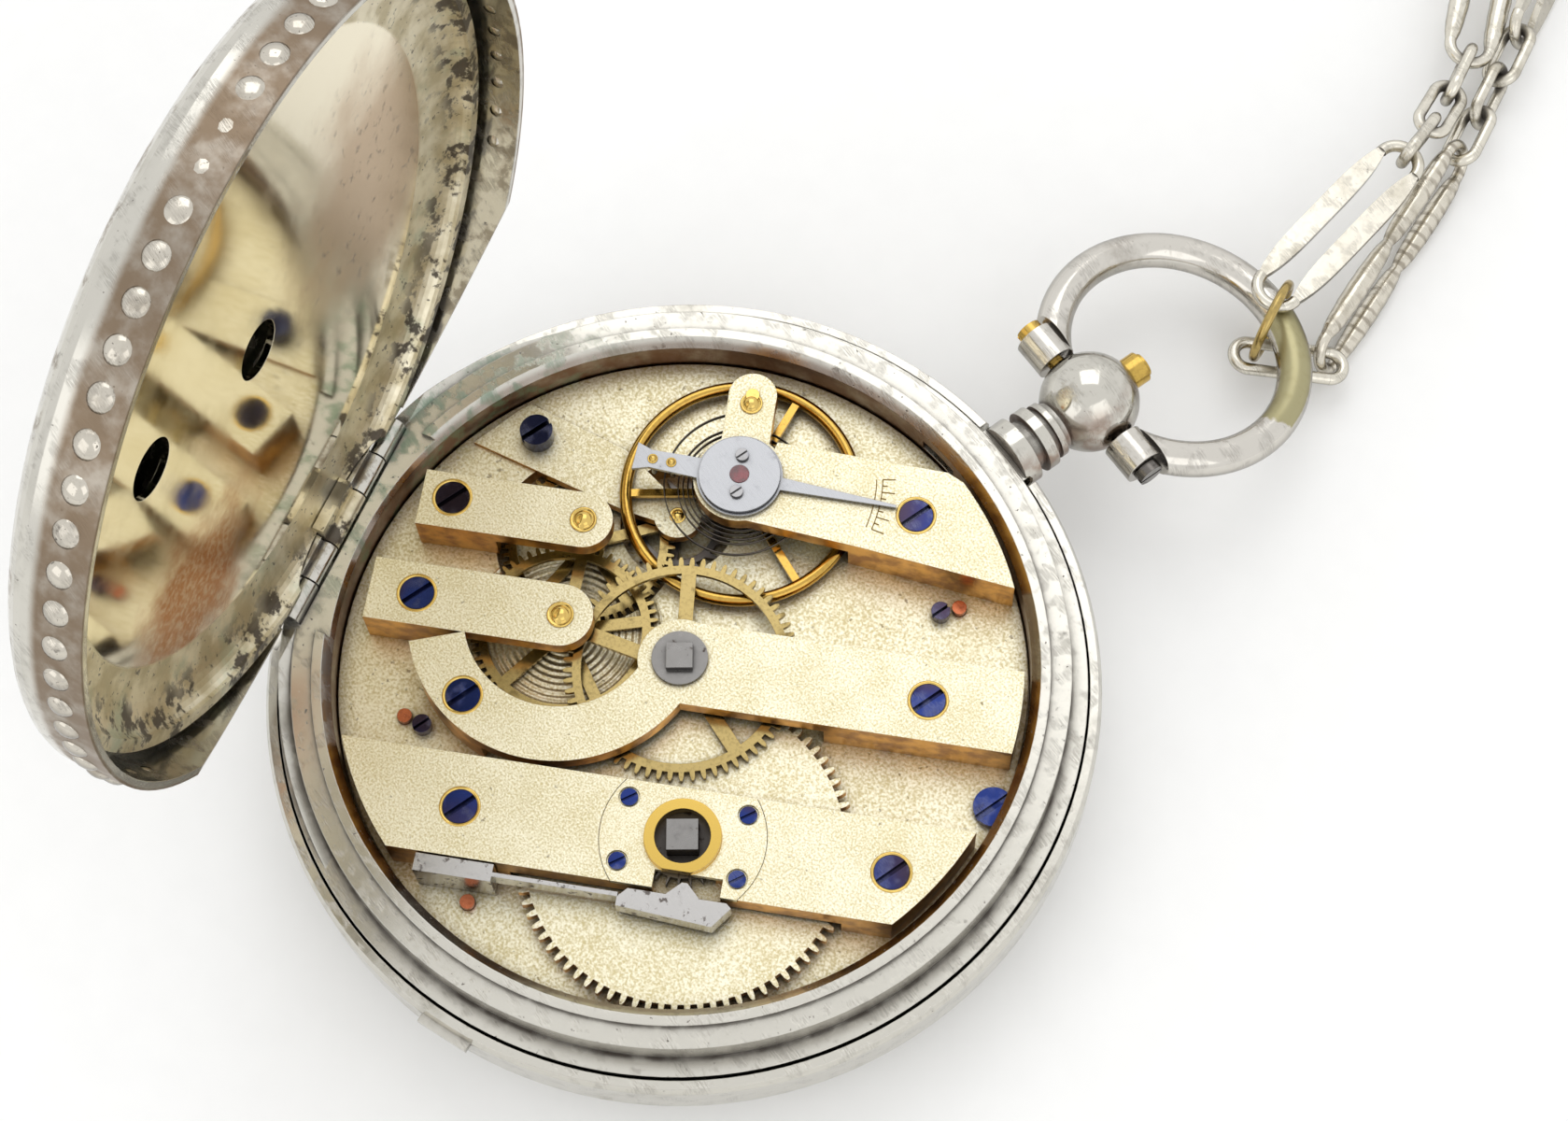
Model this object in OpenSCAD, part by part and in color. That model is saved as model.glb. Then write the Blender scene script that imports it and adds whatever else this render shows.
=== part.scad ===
/* [Case] */
// Outline diameter of the closed case
case_d = 48; // [47:0.25:51]
// Wall of the front cover's rim
front_wall = 0.7; // [0.5:0.05:0.9]
// Running gap between the covers and the band
lid_gap = 0.15; // [0.1:0.05:0.25]
// Width of the ledge under the back cover
ledge_w = 1.05; // [0.95:0.05:1.2]
// Width of the band's top ring
ring_w = 1.75; // [1.5:0.05:2]
// Height of the top ring over the ledge
ring_h = 2.2; // [1.9:0.1:2.6]
// Width of the raised ridge inside the top ring
ridge_w = 0.55; // [0.4:0.05:0.6]
// Height of the raised ridge
ridge_h = 0.3; // [0.2:0.05:0.35]
// Bevel inside the raised ridge
bevel_w = 0.5; // [0.3:0.05:0.6]
// Step in the bore that the movement seats under
seat_w = 0.85; // [0.6:0.05:1.1]
// Direction of both lid hinges
hinge_az = 209.66; // [200:0.5:220]

/* [Covers] */
// Thickness of the front cover's flat
front_t = 0.6; // [0.4:0.05:0.8]
// Radius of the flat that the watch lies on
flat_r = 14; // [11:0.5:16]
// Depth of the front cover's dome
front_dome = 4.4; // [4:0.1:4.8]
// Wall of the back cover
back_wall = 0.5; // [0.4:0.05:0.7]
// Crown of the back cover's dome
back_dome = 3.95; // [3.7:0.05:4.6]
// Upright side of the back cover above the case ring
back_side = 0.35; // [0.2:0.05:0.6]
// Angle at which the back cover and the inner cover stand open
lid_open = 89.6; // [75:0.1:91]
// Sheet of the inner cover
cuvette_t = 0.4; // [0.3:0.05:0.5]
// Radius of the inner cover's flat
cuvette_flat_r = 17.6; // [16:0.1:18.2]
// Radius of the two key holes
key_hole_r = 1.7; // [1.4:0.05:2.2]
// Radius of the hinge knuckles
knuckle_r = 0.6; // [0.5:0.02:0.65]
// Radius of the back hinge's pin
hinge_pin_r = 0.28; // [0.2:0.02:0.34]
// Radius of the front hinge's knuckles
front_knuckle_r = 0.5; // [0.4:0.02:0.55]

/* [Pendant and bow] */
// Distance of the pendant's ball from the watch's axis
pendant_y = 29.58; // [29:0.1:31]
// Height of the pendant over the resting face
pendant_z = 7.1; // [6.8:0.1:7.3]
// Radius of the pendant's ball
ball_r = 3; // [2.7:0.05:3.1]
// Radius of the pendant's neck
neck_r = 1.55; // [1.4:0.05:1.8]
// Radius of the push button
button_r = 1; // [0.8:0.05:1.1]
// How far the push button stands out of the ball
button_out = 1.1; // [0.9:0.05:1.5]
// Travel of the push button
button_travel = 0.8; // [0.5:0.05:0.9]
// Clear radius inside the bow
bow_in_r = 6.44; // [6.2:0.02:7]
// Diameter of the bow's wire
bow_wire = 2.15; // [1.8:0.05:2.3]
// Distance from the bow's screws to the middle of its ring
bow_reach = 6.87; // [6.6:0.02:7]
// How far the bow hangs below level
bow_tilt = 13.5; // [11:0.1:15]
// Radius of the bow screws' shanks
bow_screw_r = 0.5; // [0.4:0.02:0.6]

/* [Dial side] */
// Gap from the front cover to the crystal's crown
crystal_gap = 0.9; // [0.8:0.05:1.2]
// Thickness of the crystal
crystal_t = 0.6; // [0.5:0.05:0.8]
// Bulge of the crystal
crystal_bulge = 1; // [0.8:0.05:1.1]
// Height between one hand and the next
hand_step = 0.3; // [0.25:0.01:0.4]
// Thickness of the dial
dial_t = 0.6; // [0.4:0.05:0.7]
// Space for the motion work behind the dial
motion_h = 1.15; // [1.1:0.05:1.4]
// Length of the minute hand
minute_len = 15; // [12:0.25:16]
// Length of the hour hand
hour_len = 10; // [8:0.25:11]
// Length of the seconds hand
seconds_len = 3; // [2:0.1:3.4]
// Radius of the dial's feet
dial_foot_r = 0.42; // [0.3:0.02:0.48]

/* [Plate and bars] */
// Thickness of the main plate
plate_t = 2.2; // [2.1:0.05:2.5]
// Gap round the main plate
plate_gap = 0.1; // [0.05:0.01:0.15]
// Height of the bars' tops over the plate
bar_rise = 2.95; // [2.9:0.05:3.2]
// Thickness of the bars
bar_t = 1.1; // [0.9:0.05:1.14]
// Thickness of the barrel bridge
barrel_bar_t = 1.5; // [1.3:0.05:1.6]
// Slant of the bars on the plate
bar_tilt = -9.5; // [-10.5:0.1:-8.5]
// Thickness of the sunk escape cock
escape_cock_t = 0.7; // [0.6:0.02:0.75]
// Radius of a bridge screw's head
screw_head_r = 0.97; // [0.85:0.01:1.1]
// Height of a bridge screw's head
screw_head_h = 0.55; // [0.4:0.05:0.6]
// Radius of a bridge screw's shank
screw_shank_r = 0.45; // [0.35:0.01:0.5]
// Side of the winding square
wind_square = 1.75; // [1.5:0.05:1.9]
// Side of the hand setting square
set_square = 1.5; // [1.3:0.05:1.6]
// Height of both squares over the bars
square_rise = 0.7; // [0.6:0.05:0.8]

/* [Train] */
// Tooth module of barrel and centre pinion
barrel_m = 0.2325; // [0.23:0.0005:0.235]
// Tooth module of centre wheel and third pinion
centre_m = 0.2042; // [0.202:0.0005:0.206]
// Tooth module of third wheel and fourth pinion
third_m = 0.1747; // [0.173:0.0005:0.176]
// Tooth module of fourth wheel and escape pinion
fourth_m = 0.1648; // [0.163:0.0005:0.166]
// Tip radius of the escape wheel
escape_r = 3.2; // [3:0.05:3.25]
// Distance from the escape wheel to the balance
balance_dist = 3.9; // [3.88:0.01:4]
// Thickness of the train wheels
wheel_t = 0.3; // [0.2:0.02:0.34]
// Radius of the barrel's drum
drum_r = 8.5; // [8.2:0.05:8.6]
// Tip radius of the ratchet wheel
ratchet_r = 2.7; // [2.6:0.02:2.75]

/* [Balance] */
// Outer radius of the balance rim
balance_r = 7.1; // [6.8:0.05:7.15]
// Section diameter of the balance rim
rim_d = 0.72; // [0.5:0.02:0.74]
// Turns of the hairspring
hair_turns = 5.5; // [4.5:0.5:5.5]
// Step from one hairspring turn to the next
hair_pitch = 0.6; // [0.56:0.01:0.62]
// Thickness of the hairspring's strip
hair_t = 0.1; // [0.06:0.01:0.12]
// Height of the hairspring's strip
hair_h = 0.35; // [0.25:0.01:0.38]
// Length of the regulator's pointer
pointer_len = 9.2; // [8:0.1:10]

/* [Chain] */
// Wire of the small links
link_wire = 0.75; // [0.7:0.01:0.78]
// Length of a small link
link_len = 4.9; // [4.8:0.02:5]
// Width of a small link
link_w = 2.6; // [2.5:0.02:2.7]
// Wire of the jump ring
jump_wire = 0.6; // [0.55:0.01:0.64]
// Outer diameter of the jump ring
jump_d = 5.5; // [5.45:0.01:5.55]
// Length of the flat link
flat_len = 15.2; // [15.1:0.02:15.3]
// Length of the hammered link
hammered_len = 18.6; // [18.5:0.02:18.7]

/* [Hidden] */
$fn = 96;
eps = 0.02;
fit = 0.03;

// Turn of the movement in the case
movement_turn = 54;

// Teeth and leaves
barrel_n = 80;
centre_leaves = 10;
centre_n = 64;
pinion_leaves = 8;
train_n = 60;
escape_leaves = 6;
escape_n = 15;
ratchet_n = 24;

// Levels over the resting face, from the front cover up
crystal_z = front_t + crystal_gap;
crystal_in = crystal_z + crystal_t;
minute_z = crystal_in + 0.85;
hour_z = minute_z + hand_step;
seconds_z = hour_z + hand_step;
hand_t = 0.12;
dial_z = seconds_z + hand_step;
plate_z = dial_z + dial_t + motion_h;
plate_top = plate_z + plate_t;
bar_top = plate_top + bar_rise;
bar_z = bar_top - bar_t;
barrel_bar_z = bar_top - barrel_bar_t;
square_top = bar_top + square_rise;
band_z = plate_z + 0.1;
ledge_z = plate_top + 0.1;
ring_z = ledge_z + ring_h;
hinge_z = ring_z + ridge_h;
front_rim_z = ledge_z - 0.25;
front_hinge_z = front_rim_z - front_knuckle_r;

// Radii of the case
case_r = case_d / 2;
front_in = case_r - front_wall;
band_r = front_in - lid_gap;
ring_out = band_r - ledge_w;
back_in = ring_out + 0.25;
back_r = back_in + back_wall;
back_foot = ring_z + back_side;
ring_in = ring_out - ring_w;
bore_r = ring_in - bevel_w;
seat_r = bore_r + seat_w;
plate_r = bore_r - plate_gap;
flange_r = seat_r - plate_gap;
flange_h = 1.3;
bar_r = plate_r - 0.35;
hinge_r = ring_out - knuckle_r;
front_hinge_r = case_r - 0.1;
cuvette_r = ring_in + ridge_w + 0.05;
crystal_r = cuvette_r - 0.05;
dial_r = crystal_r - 0.7;
bezel_r = crystal_r + 1.5;

// Places of the arbors on the plate
function polar(r, a) = [r * cos(a), r * sin(a)];
function turned(p, a) = [p[0] * cos(a) - p[1] * sin(a), p[0] * sin(a) + p[1] * cos(a)];
function pitch_r(n, m) = n * m / 2;
barrel_az = -88.4;
third_az = 158.2;
fourth_az = 78.7;
escape_az = 14.3;
balance_az = 18;
minute_az = 20;
barrel_xy = polar(pitch_r(barrel_n + centre_leaves, barrel_m), barrel_az);
third_xy = polar(pitch_r(centre_n + pinion_leaves, centre_m), third_az);
fourth_xy = third_xy + polar(pitch_r(train_n + pinion_leaves, third_m), fourth_az);
escape_xy = fourth_xy + polar(pitch_r(train_n + escape_leaves, fourth_m), escape_az);
balance_xy = escape_xy + polar(balance_dist, balance_az);
cannon_n = 12;
minute_n = 36;
minute_leaves = 10;
hour_n = 40;
cannon_m = 0.17;
hour_m = cannon_m * (cannon_n + minute_n) / (minute_leaves + hour_n);
minute_xy = polar(pitch_r(cannon_n + minute_n, cannon_m), minute_az);

// Addendum and dedendum in modules, then half widths in pitches at root, pitch circle and tip
wheel_tooth = [1, 1.5, 0.25, 0.21, 0.1];
leaf_tooth = [0.45, 1.35, 0.15, 0.17, 0.08];

// Levels of the train
barrel_tooth_z = plate_top + 0.55;
barrel_tooth_h = 0.6;
drum_z = plate_z + 0.45;
drum_floor = 0.3;
centre_wheel_z = plate_top + 1.25;
third_wheel_z = plate_top + 0.1;
fourth_wheel_z = plate_top - 0.9;
escape_wheel_z = plate_z + 0.35;
balance_z = plate_top + 0.72;
hair_z = bar_z - hair_h - 0.2;
ratchet_z = bar_top - 0.95;
ratchet_t = 0.5;
cap_t = 0.4;
cap_r = 4.64;
recess_floor = 0.25;
centre_pivot_r = 0.8;
set_arbor_r = 0.5;
pivot_r = 0.2;
wind_pivot_r = 1.3;
wind_foot_r = 0.8;
train_gap = 0.25;

// Screws through the bars, on the plate
barrel_screws = [[-12.1, -8.57], [11.76, -12.5]];
centre_screws = [[13.94, -2.57], [-12.2, -2.04]];
third_screw = [-15.05, 4.14];
fourth_screw = [-13.26, 10.02];
balance_screw = [13.45, 8.64];
escape_screw = [-8.72, 14.96];
escape_screw_rise = 1.15;
dial_feet_xy = [[15.9, 3.94], [-15.81, -2.36], [-11.81, -13.31]];
dial_screws = [[14.82, 3.66], [-14.77, -2.93]];
dial_screw_r = 0.55;
case_screw_az = -24.6;
case_screw_r = 1.15;
small_screw_r = 0.5;
small_shank_r = 0.25;
cap_screw_xy = [3.35, 1.85];
case_screw_xy = polar(plate_r - 0.45, case_screw_az);

// Outlines of the cocks on the plate
third_cock_w = 3.74;
fourth_cock_w = 3.4;
third_end = -18.3;
fourth_end = -16.55;
third_foot = -12.9;
fourth_foot = -11.9;
centre_boss_r = 2.4;
centre_arm = [-2.6, 2.3];
centre_foot = 8.6;
curved_arm = [5.5, 8.7];
curved_arm_az = [190, 345];
barrel_bar = [-13.3, -7.4];
balance_cock_outline = [[3.4, 8.5], [10.2, 6.7], [19, 4.1], [20, 8], [15.3, 11.3], [5.5, 13.3]];
balance_boss_r = 2.7;
stud_az = 82;
stud_dist = 5.24;
stud_arm_w = 2.8;
stud_r = 0.4;
escape_cock_outline = [[-9.3, 17.2], [-3.5, 14.1], [-0.6, 11], [-1.2, 9.4], [-3.45, 10.2], [-12.5, 14.7]];
escape_boss_r = 1.4;
balance_room = balance_r + 0.4;
regulator_az = 167.5;
curb_r = [4.05, 5.15];

// Hinge lengths along the pin, from the middle outward
cuvette_knuckle = 1.7;
cover_knuckle = [1.8, 4.2];
case_knuckle = [4.3, 6.7];
front_case_knuckle = 1.5;
front_knuckle = [1.6, 4.1];
cover_slope = 16.3;
cover_chord = hinge_r - 0.45;
cuvette_chord = hinge_r - 1.2;
cuvette_flat_z = square_top + 0.2;
cuvette_rim_z = ring_z + 0.05;
cuvette_flange = 0.4;

silver = [0.78, 0.77, 0.74];
gilt = [0.88, 0.8, 0.55];
brass = [0.8, 0.66, 0.33];
steel = [0.6, 0.61, 0.63];
blued = [0.14, 0.2, 0.5];
copper = [0.72, 0.4, 0.27];

// Shared shapes
module on_movement() {
    rotate([0, 0, movement_turn])
        children();
}

module at(xy, z = 0) {
    translate([xy[0], xy[1], z])
        children();
}

module disc(z0, z1, r) {
    translate([0, 0, z0])
        cylinder(h = z1 - z0, r = r);
}

module tube(z0, z1, r, bore) {
    difference() {
        disc(z0, z1, r);
        disc(z0 - 1, z1 + 1, bore);
    }
}

module raise(z0, z1) {
    translate([0, 0, z0])
        linear_extrude(z1 - z0)
            children();
}

function tooth_ring(n, m, t, phase) = [
    for (i = [0:n - 1])
        for (p = [[-t[1], -t[2]], [0, -t[3]], [t[0], -t[4]], [t[0], t[4]], [0, t[3]], [-t[1], t[2]]])
            polar(pitch_r(n, m) + p[0] * m, phase + (i + p[1]) * 360 / n)
];

module crossings(rim, hub, arms, arm_w, phase) {
    difference() {
        circle(rim);
        circle(hub);
        for (i = [0:arms - 1])
            rotate(phase + i * 360 / arms)
                translate([0, -arm_w / 2])
                    square([rim + 1, arm_w]);
    }
}

module wheel(n, m, phase, z0, hub, bore, arms, arm_w) {
    rim = pitch_r(n, m) - wheel_tooth[1] * m - 0.5;
    raise(z0, z0 + wheel_t)
        difference() {
            polygon(tooth_ring(n, m, wheel_tooth, phase));
            crossings(rim, hub, arms, arm_w, phase);
            circle(bore);
        }
}

module pinion(n, m, phase, z0, z1) {
    raise(z0, z1)
        polygon(tooth_ring(n, m, leaf_tooth, phase));
}

module screw(top, head_r, head_h, shank_r, foot) {
    slot_w = head_r * 0.3;
    slot_d = head_h * 0.5;
    difference() {
        union() {
            disc(top - head_h, top, head_r);
            disc(foot, top - head_h + eps, shank_r);
        }
        rotate([0, 0, 35])
            translate([-2 * head_r, -slot_w / 2, top - slot_d])
                cube([4 * head_r, slot_w, slot_d + 1]);
    }
}

module screw_room(top, head_r, head_h, shank_r, foot) {
    disc(top - head_h, top + 1, head_r + 0.1);
    disc(foot, top, shank_r + fit);
}

module bar_screw_room() {
    screw_room(bar_top, screw_head_r, screw_head_h, screw_shank_r, plate_top - 2);
}

// A flat strip wound from r0 outward, with its outer end led to r_end over the last part of its run
function strip_r(a, r0, pitch, lead_a, end_a, r_end) =
    let (free = r0 + pitch * a / 360, at_lead = r0 + pitch * lead_a / 360)
    a <= lead_a ? free : at_lead + (r_end - at_lead) * (a - lead_a) / (end_a - lead_a);

function strip_path(r0, pitch, lead_a, end_a, r_end, start_az, sense, step) = [
    for (i = [0:ceil(end_a / step)])
        let (a = min(i * step, end_a))
        polar(strip_r(a, r0, pitch, lead_a, end_a, r_end), start_az + sense * a)
];

module strip(path, t, z0, z1) {
    n = len(path);
    points = [
        for (i = [0:n - 1])
            let (out = path[i] / norm(path[i]), a = path[i] - out * t / 2, b = path[i] + out * t / 2)
            each [[a[0], a[1], z0], [b[0], b[1], z0], [b[0], b[1], z1], [a[0], a[1], z1]]
    ];
    sides = [
        for (i = [0:n - 2], k = [0:3])
            let (p = 4 * i + k, q = 4 * i + (k + 1) % 4)
            each [[p, q, q + 4], [p, q + 4, p + 4]]
    ];
    e = 4 * (n - 1);
    ends = [[0, 3, 2], [0, 2, 1], [e, e + 1, e + 2], [e, e + 2, e + 3]];
    polyhedron(points, concat(sides, ends));
}

function least_gap(path, t, apart) = min([
    for (i = [0:len(path) - 1])
        for (j = [i + apart:1:len(path) - 1])
            norm(path[i] - path[j]) - t
]);

// Frames of the two hinges, with the hinge on +X
module at_hinge() {
    rotate([0, 0, hinge_az])
        children();
}

module swung(angle) {
    at_hinge()
        translate([hinge_r, 0, hinge_z])
            rotate([0, angle, 0])
                translate([-hinge_r, 0, -hinge_z])
                    rotate([0, 0, -hinge_az])
                        children();
}

module knuckle(r, z, rad, y0, y1) {
    translate([r, y0, z])
        rotate([-90, 0, 0])
            cylinder(h = y1 - y0, r = rad);
}

module knuckle_pair(r, z, rad, span) {
    knuckle(r, z, rad, span[0], span[1]);
    knuckle(r, z, rad, -span[1], -span[0]);
}

module block(x0, x1, y0, y1, z0, z1) {
    translate([x0, y0, z0])
        cube([x1 - x0, y1 - y0, z1 - z0]);
}

module below_slope(drop) {
    translate([hinge_r, 0, hinge_z - drop])
        rotate([0, -cover_slope, 0])
            block(-2 * case_r, case_r, -case_r, case_r, -case_r, 0);
}

// Case
spring_r = [ring_out - 0.6, ring_out + 0.2];
spring_z = [band_z + 0.1, band_z + 1];
spring_room = 0.2;
spring_half = 40;

module spring_groove(az) {
    rotate([0, 0, az - spring_half - 2])
        rotate_extrude(angle = 2 * spring_half + 4)
            translate([spring_r[0] - spring_room, band_z - 1])
                square([spring_r[1] - spring_r[0] + 2 * spring_room, spring_z[1] - band_z + 1 + spring_room]);
}

module band_spring(az) {
    color(steel)
        rotate([0, 0, az - spring_half])
            rotate_extrude(angle = 2 * spring_half)
                translate([spring_r[0], spring_z[0]])
                    square([spring_r[1] - spring_r[0], spring_z[1] - spring_z[0]]);
}

module band_turning() {
    seat_z = plate_z + flange_h + 0.05;
    ridge_z = ring_z + ridge_h;
    rotate_extrude()
        polygon([[seat_r, band_z], [band_r, band_z], [band_r, ledge_z], [ring_out, ledge_z],
            [ring_out, ring_z], [ring_in + ridge_w, ring_z], [ring_in + ridge_w, ridge_z],
            [ring_in, ridge_z], [bore_r, ridge_z - 0.6], [bore_r, seat_z], [seat_r, seat_z]]);
}

module hinge_wedge() {
    intersection() {
        tube(ledge_z - 0.1, ring_z - 0.02, back_r, ring_out - 0.1);
        below_slope(0.15);
        block(hinge_r - 12, case_r, -case_r, case_r, ledge_z - 1, ring_z + 1);
    }
}

module case_band() {
    trough_r = knuckle_r + 0.15;
    lock_slot_az = 41.5;
    color(silver)
        difference() {
            union() {
                difference() {
                    union() {
                        band_turning();
                        at_hinge()
                            hinge_wedge();
                    }
                    at_hinge() {
                        knuckle(hinge_r, hinge_z, trough_r, -case_knuckle[1], case_knuckle[1]);
                        block(ring_in - 2, case_r, -case_knuckle[1], case_knuckle[1], ring_z, ring_z + 2);
                    }
                }
                at_hinge() {
                    knuckle_pair(hinge_r, hinge_z, knuckle_r, case_knuckle);
                    for (s = [-1, 1])
                        block(hinge_r - knuckle_r, hinge_r + knuckle_r,
                            s > 0 ? case_knuckle[0] : -case_knuckle[1],
                            s > 0 ? case_knuckle[1] : -case_knuckle[0], ring_z - 1.2, hinge_z);
                    knuckle(front_hinge_r, front_hinge_z, front_knuckle_r,
                        -front_case_knuckle, front_case_knuckle);
                    block(band_r - 0.3, front_hinge_r, -front_case_knuckle, front_case_knuckle,
                        front_hinge_z - front_knuckle_r, front_hinge_z + front_knuckle_r);
                }
            }
            at_hinge() {
                knuckle(hinge_r, hinge_z, hinge_pin_r + 0.04, -case_r, case_r);
                knuckle(front_hinge_r, front_hinge_z, front_pin_r + 0.04, -case_r, case_r);
            }
            spring_groove(90);
            spring_groove(hinge_az);
            on_movement() {
                at(barrel_xy)
                    disc(barrel_tooth_z - train_gap, barrel_tooth_z + barrel_tooth_h + train_gap,
                        barrel_tip_r + train_gap);
                at(case_screw_xy)
                    disc(plate_top - 0.05, plate_top + 0.8, case_screw_r + 0.15);
                rotate([0, 0, lock_slot_az])
                    block(bore_r - 1, bore_r + 0.8, -1.3, 1.3, plate_top + 0.25, plate_top + 1.15);
            }
        }
}

module lock_spring() {
    band_spring(90);
}

module lid_spring() {
    band_spring(hinge_az);
}

module back_hinge_pin() {
    color(steel)
        at_hinge()
            knuckle(hinge_r, hinge_z, hinge_pin_r, -case_knuckle[1], case_knuckle[1]);
}

// Half of a rounded dome's outline, from its foot to its crown
function dome_points(r, h, z0, steps) = [
    for (i = [0:steps])
        let (a = 90 * i / steps)
        [r * pow(cos(a), 2 / 3), z0 + h * pow(sin(a), 2 / 3)]
];

// Height of the back cover's lining at radius r
function lining_z(r) = back_foot - 0.1 + (back_dome - 0.45) * pow(1 - pow(r / back_in, 3), 1 / 3);

module back_cover_turning() {
    steps = 18;
    outer = dome_points(back_r, back_dome, back_foot, steps);
    inner = dome_points(back_in, back_dome - 0.45, back_foot - 0.1, steps);
    inward = [for (i = [steps:-1:0]) inner[i]];
    rotate_extrude()
        polygon(concat([[back_r, ledge_z + 0.05]], outer, inward, [[back_in, ledge_z + 0.05]]));
}

module back_cover_shut() {
    web = 0.6;
    leaf_z = hinge_z + 0.25;
    web_top = lining_z(cover_chord) + 0.55 * back_wall;
    difference() {
        union() {
            difference() {
                rotate([0, 0, hinge_az])
                    back_cover_turning();
                at_hinge() {
                    block(cover_chord, 2 * case_r, -case_r, case_r, 0, 3 * ring_z);
                    below_slope(0);
                }
            }
            at_hinge() {
                knuckle_pair(hinge_r, hinge_z, knuckle_r, cover_knuckle);
                for (s = [-1, 1]) {
                    y0 = s > 0 ? cover_knuckle[0] : -cover_knuckle[1];
                    y1 = s > 0 ? cover_knuckle[1] : -cover_knuckle[0];
                    block(cover_chord - web, hinge_r, y0, y1, leaf_z, leaf_z + 0.5);
                    block(cover_chord - web, cover_chord, y0, y1, leaf_z, web_top);
                }
            }
        }
        at_hinge()
            knuckle(hinge_r, hinge_z, hinge_pin_r + 0.04, -case_r, case_r);
    }
}

module back_cover() {
    color(silver)
        swung(lid_open)
            back_cover_shut();
}

function cove_z(r) = cuvette_rim_z + (cuvette_flat_z - cuvette_rim_z)
    * sqrt(1 - pow((r - cuvette_flat_r) / (cuvette_r - cuvette_flat_r), 2));

module cuvette_turning() {
    steps = 10;
    rise = cuvette_flat_z - cuvette_rim_z;
    reach = cuvette_r - cuvette_flat_r;
    inner = [
        for (i = [0:steps])
            let (a = 90 * i / steps)
            [cuvette_flat_r + reach * cos(a), cuvette_rim_z + rise * sin(a)]
    ];
    outer = [
        for (i = [steps:-1:0])
            let (a = 90 * i / steps)
            [cuvette_flat_r + (reach + cuvette_t) * cos(a), cuvette_rim_z + cuvette_t + rise * sin(a)]
    ];
    flange = cuvette_r + 0.75;
    rotate_extrude()
        polygon(concat(inner, [[0, cuvette_flat_z], [0, cuvette_flat_z + cuvette_t]], outer,
            [[flange, cuvette_rim_z + cuvette_flange], [flange, cuvette_rim_z]]));
}

module cuvette_shut() {
    leaf_z = hinge_z + 0.1;
    web = 0.55;
    web_top = cove_z(cuvette_chord) + 0.4 * cuvette_t;
    difference() {
        union() {
            difference() {
                rotate([0, 0, hinge_az])
                    cuvette_turning();
                at_hinge()
                    block(cuvette_chord, 2 * case_r, -case_r, case_r, 0, 3 * ring_z);
            }
            at_hinge() {
                knuckle(hinge_r, hinge_z, knuckle_r, -cuvette_knuckle, cuvette_knuckle);
                block(cuvette_chord - web, hinge_r, -cuvette_knuckle, cuvette_knuckle, leaf_z, leaf_z + 0.4);
                block(cuvette_chord - web, cuvette_chord, -cuvette_knuckle, cuvette_knuckle, leaf_z, web_top);
            }
        }
        at_hinge()
            knuckle(hinge_r, hinge_z, hinge_pin_r + 0.04, -case_r, case_r);
        on_movement() {
            disc(ring_z, square_top + 3, key_hole_r);
            at(barrel_xy)
                disc(ring_z, square_top + 3, key_hole_r);
        }
    }
}

module cuvette() {
    color(silver)
        swung(lid_open)
            cuvette_shut();
}

front_pin_r = 0.22;

module front_turning() {
    steps = 10;
    function edge(r, z0, a) = [flat_r + (r - flat_r) * sin(a), z0 + front_dome * (1 - cos(a))];
    outer = [for (i = [0:steps]) edge(case_r, 0, 90 * i / steps)];
    inner = [for (i = [steps:-1:0]) edge(front_in, front_t, 90 * i / steps)];
    rotate_extrude()
        polygon(concat([[0, 0]], outer, [[case_r, front_rim_z - 0.45], [case_r - 0.2, front_rim_z],
            [front_in, front_rim_z]], inner, [[0, front_t]]));
}

module front_cover() {
    neck_room = 2.1 + 0.25;
    lip_az = movement_turn - 122.4;
    color(silver)
        difference() {
            union() {
                difference() {
                    front_turning();
                    at_hinge() {
                        block(front_in - 1.2, 2 * case_r, -8, 8, front_hinge_z, 2 * ring_z);
                        block(band_r - 1, 2 * case_r, -front_knuckle[0], front_knuckle[0],
                            front_hinge_z - front_knuckle_r - 0.2, 2 * ring_z);
                    }
                }
                at_hinge()
                    knuckle_pair(front_hinge_r, front_hinge_z, front_knuckle_r, front_knuckle);
                rotate([0, 0, lip_az])
                    block(case_r - 0.5, case_r + 0.45, -1.6, 1.6, front_rim_z - 0.95, front_rim_z - 0.45);
            }
            at_hinge()
                knuckle(front_hinge_r, front_hinge_z, front_pin_r + 0.04, -case_r, case_r);
            translate([0, 0, pendant_z])
                rotate([-90, 0, 0])
                    cylinder(h = 2 * case_r, r = neck_room);
            block(-neck_room, neck_room, 0, 2 * case_r, pendant_z, 2 * ring_z);
        }
}

module front_hinge_pin() {
    color(steel)
        at_hinge()
            knuckle(front_hinge_r, front_hinge_z, front_pin_r, -front_knuckle[1], front_knuckle[1]);
}

module bezel() {
    lip = 0.6;
    color(silver)
        rotate_extrude()
            polygon([[crystal_r - lip, crystal_z + 0.5], [crystal_r - lip, crystal_z + crystal_bulge - 0.1],
                [crystal_r + 0.05, crystal_z + crystal_bulge - 0.1], [crystal_r + 0.05, band_z],
                [bezel_r, band_z], [bezel_r, crystal_z + crystal_bulge + 0.95]]);
}

module crystal() {
    steps = 12;
    outer = [for (i = [0:steps]) [crystal_r * i / steps, crystal_z + crystal_bulge * pow(i / steps, 2)]];
    inner = [for (i = [steps:-1:0]) outer[i] + [0, crystal_t]];
    color([0.85, 0.93, 0.95, 0.5])
        rotate_extrude()
            polygon(concat(outer, inner));
}

// Pendant, bow and button
module along_y(y0, y1, r) {
    translate([0, y0, 0])
        rotate([-90, 0, 0])
            cylinder(h = y1 - y0, r = r);
}

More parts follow.
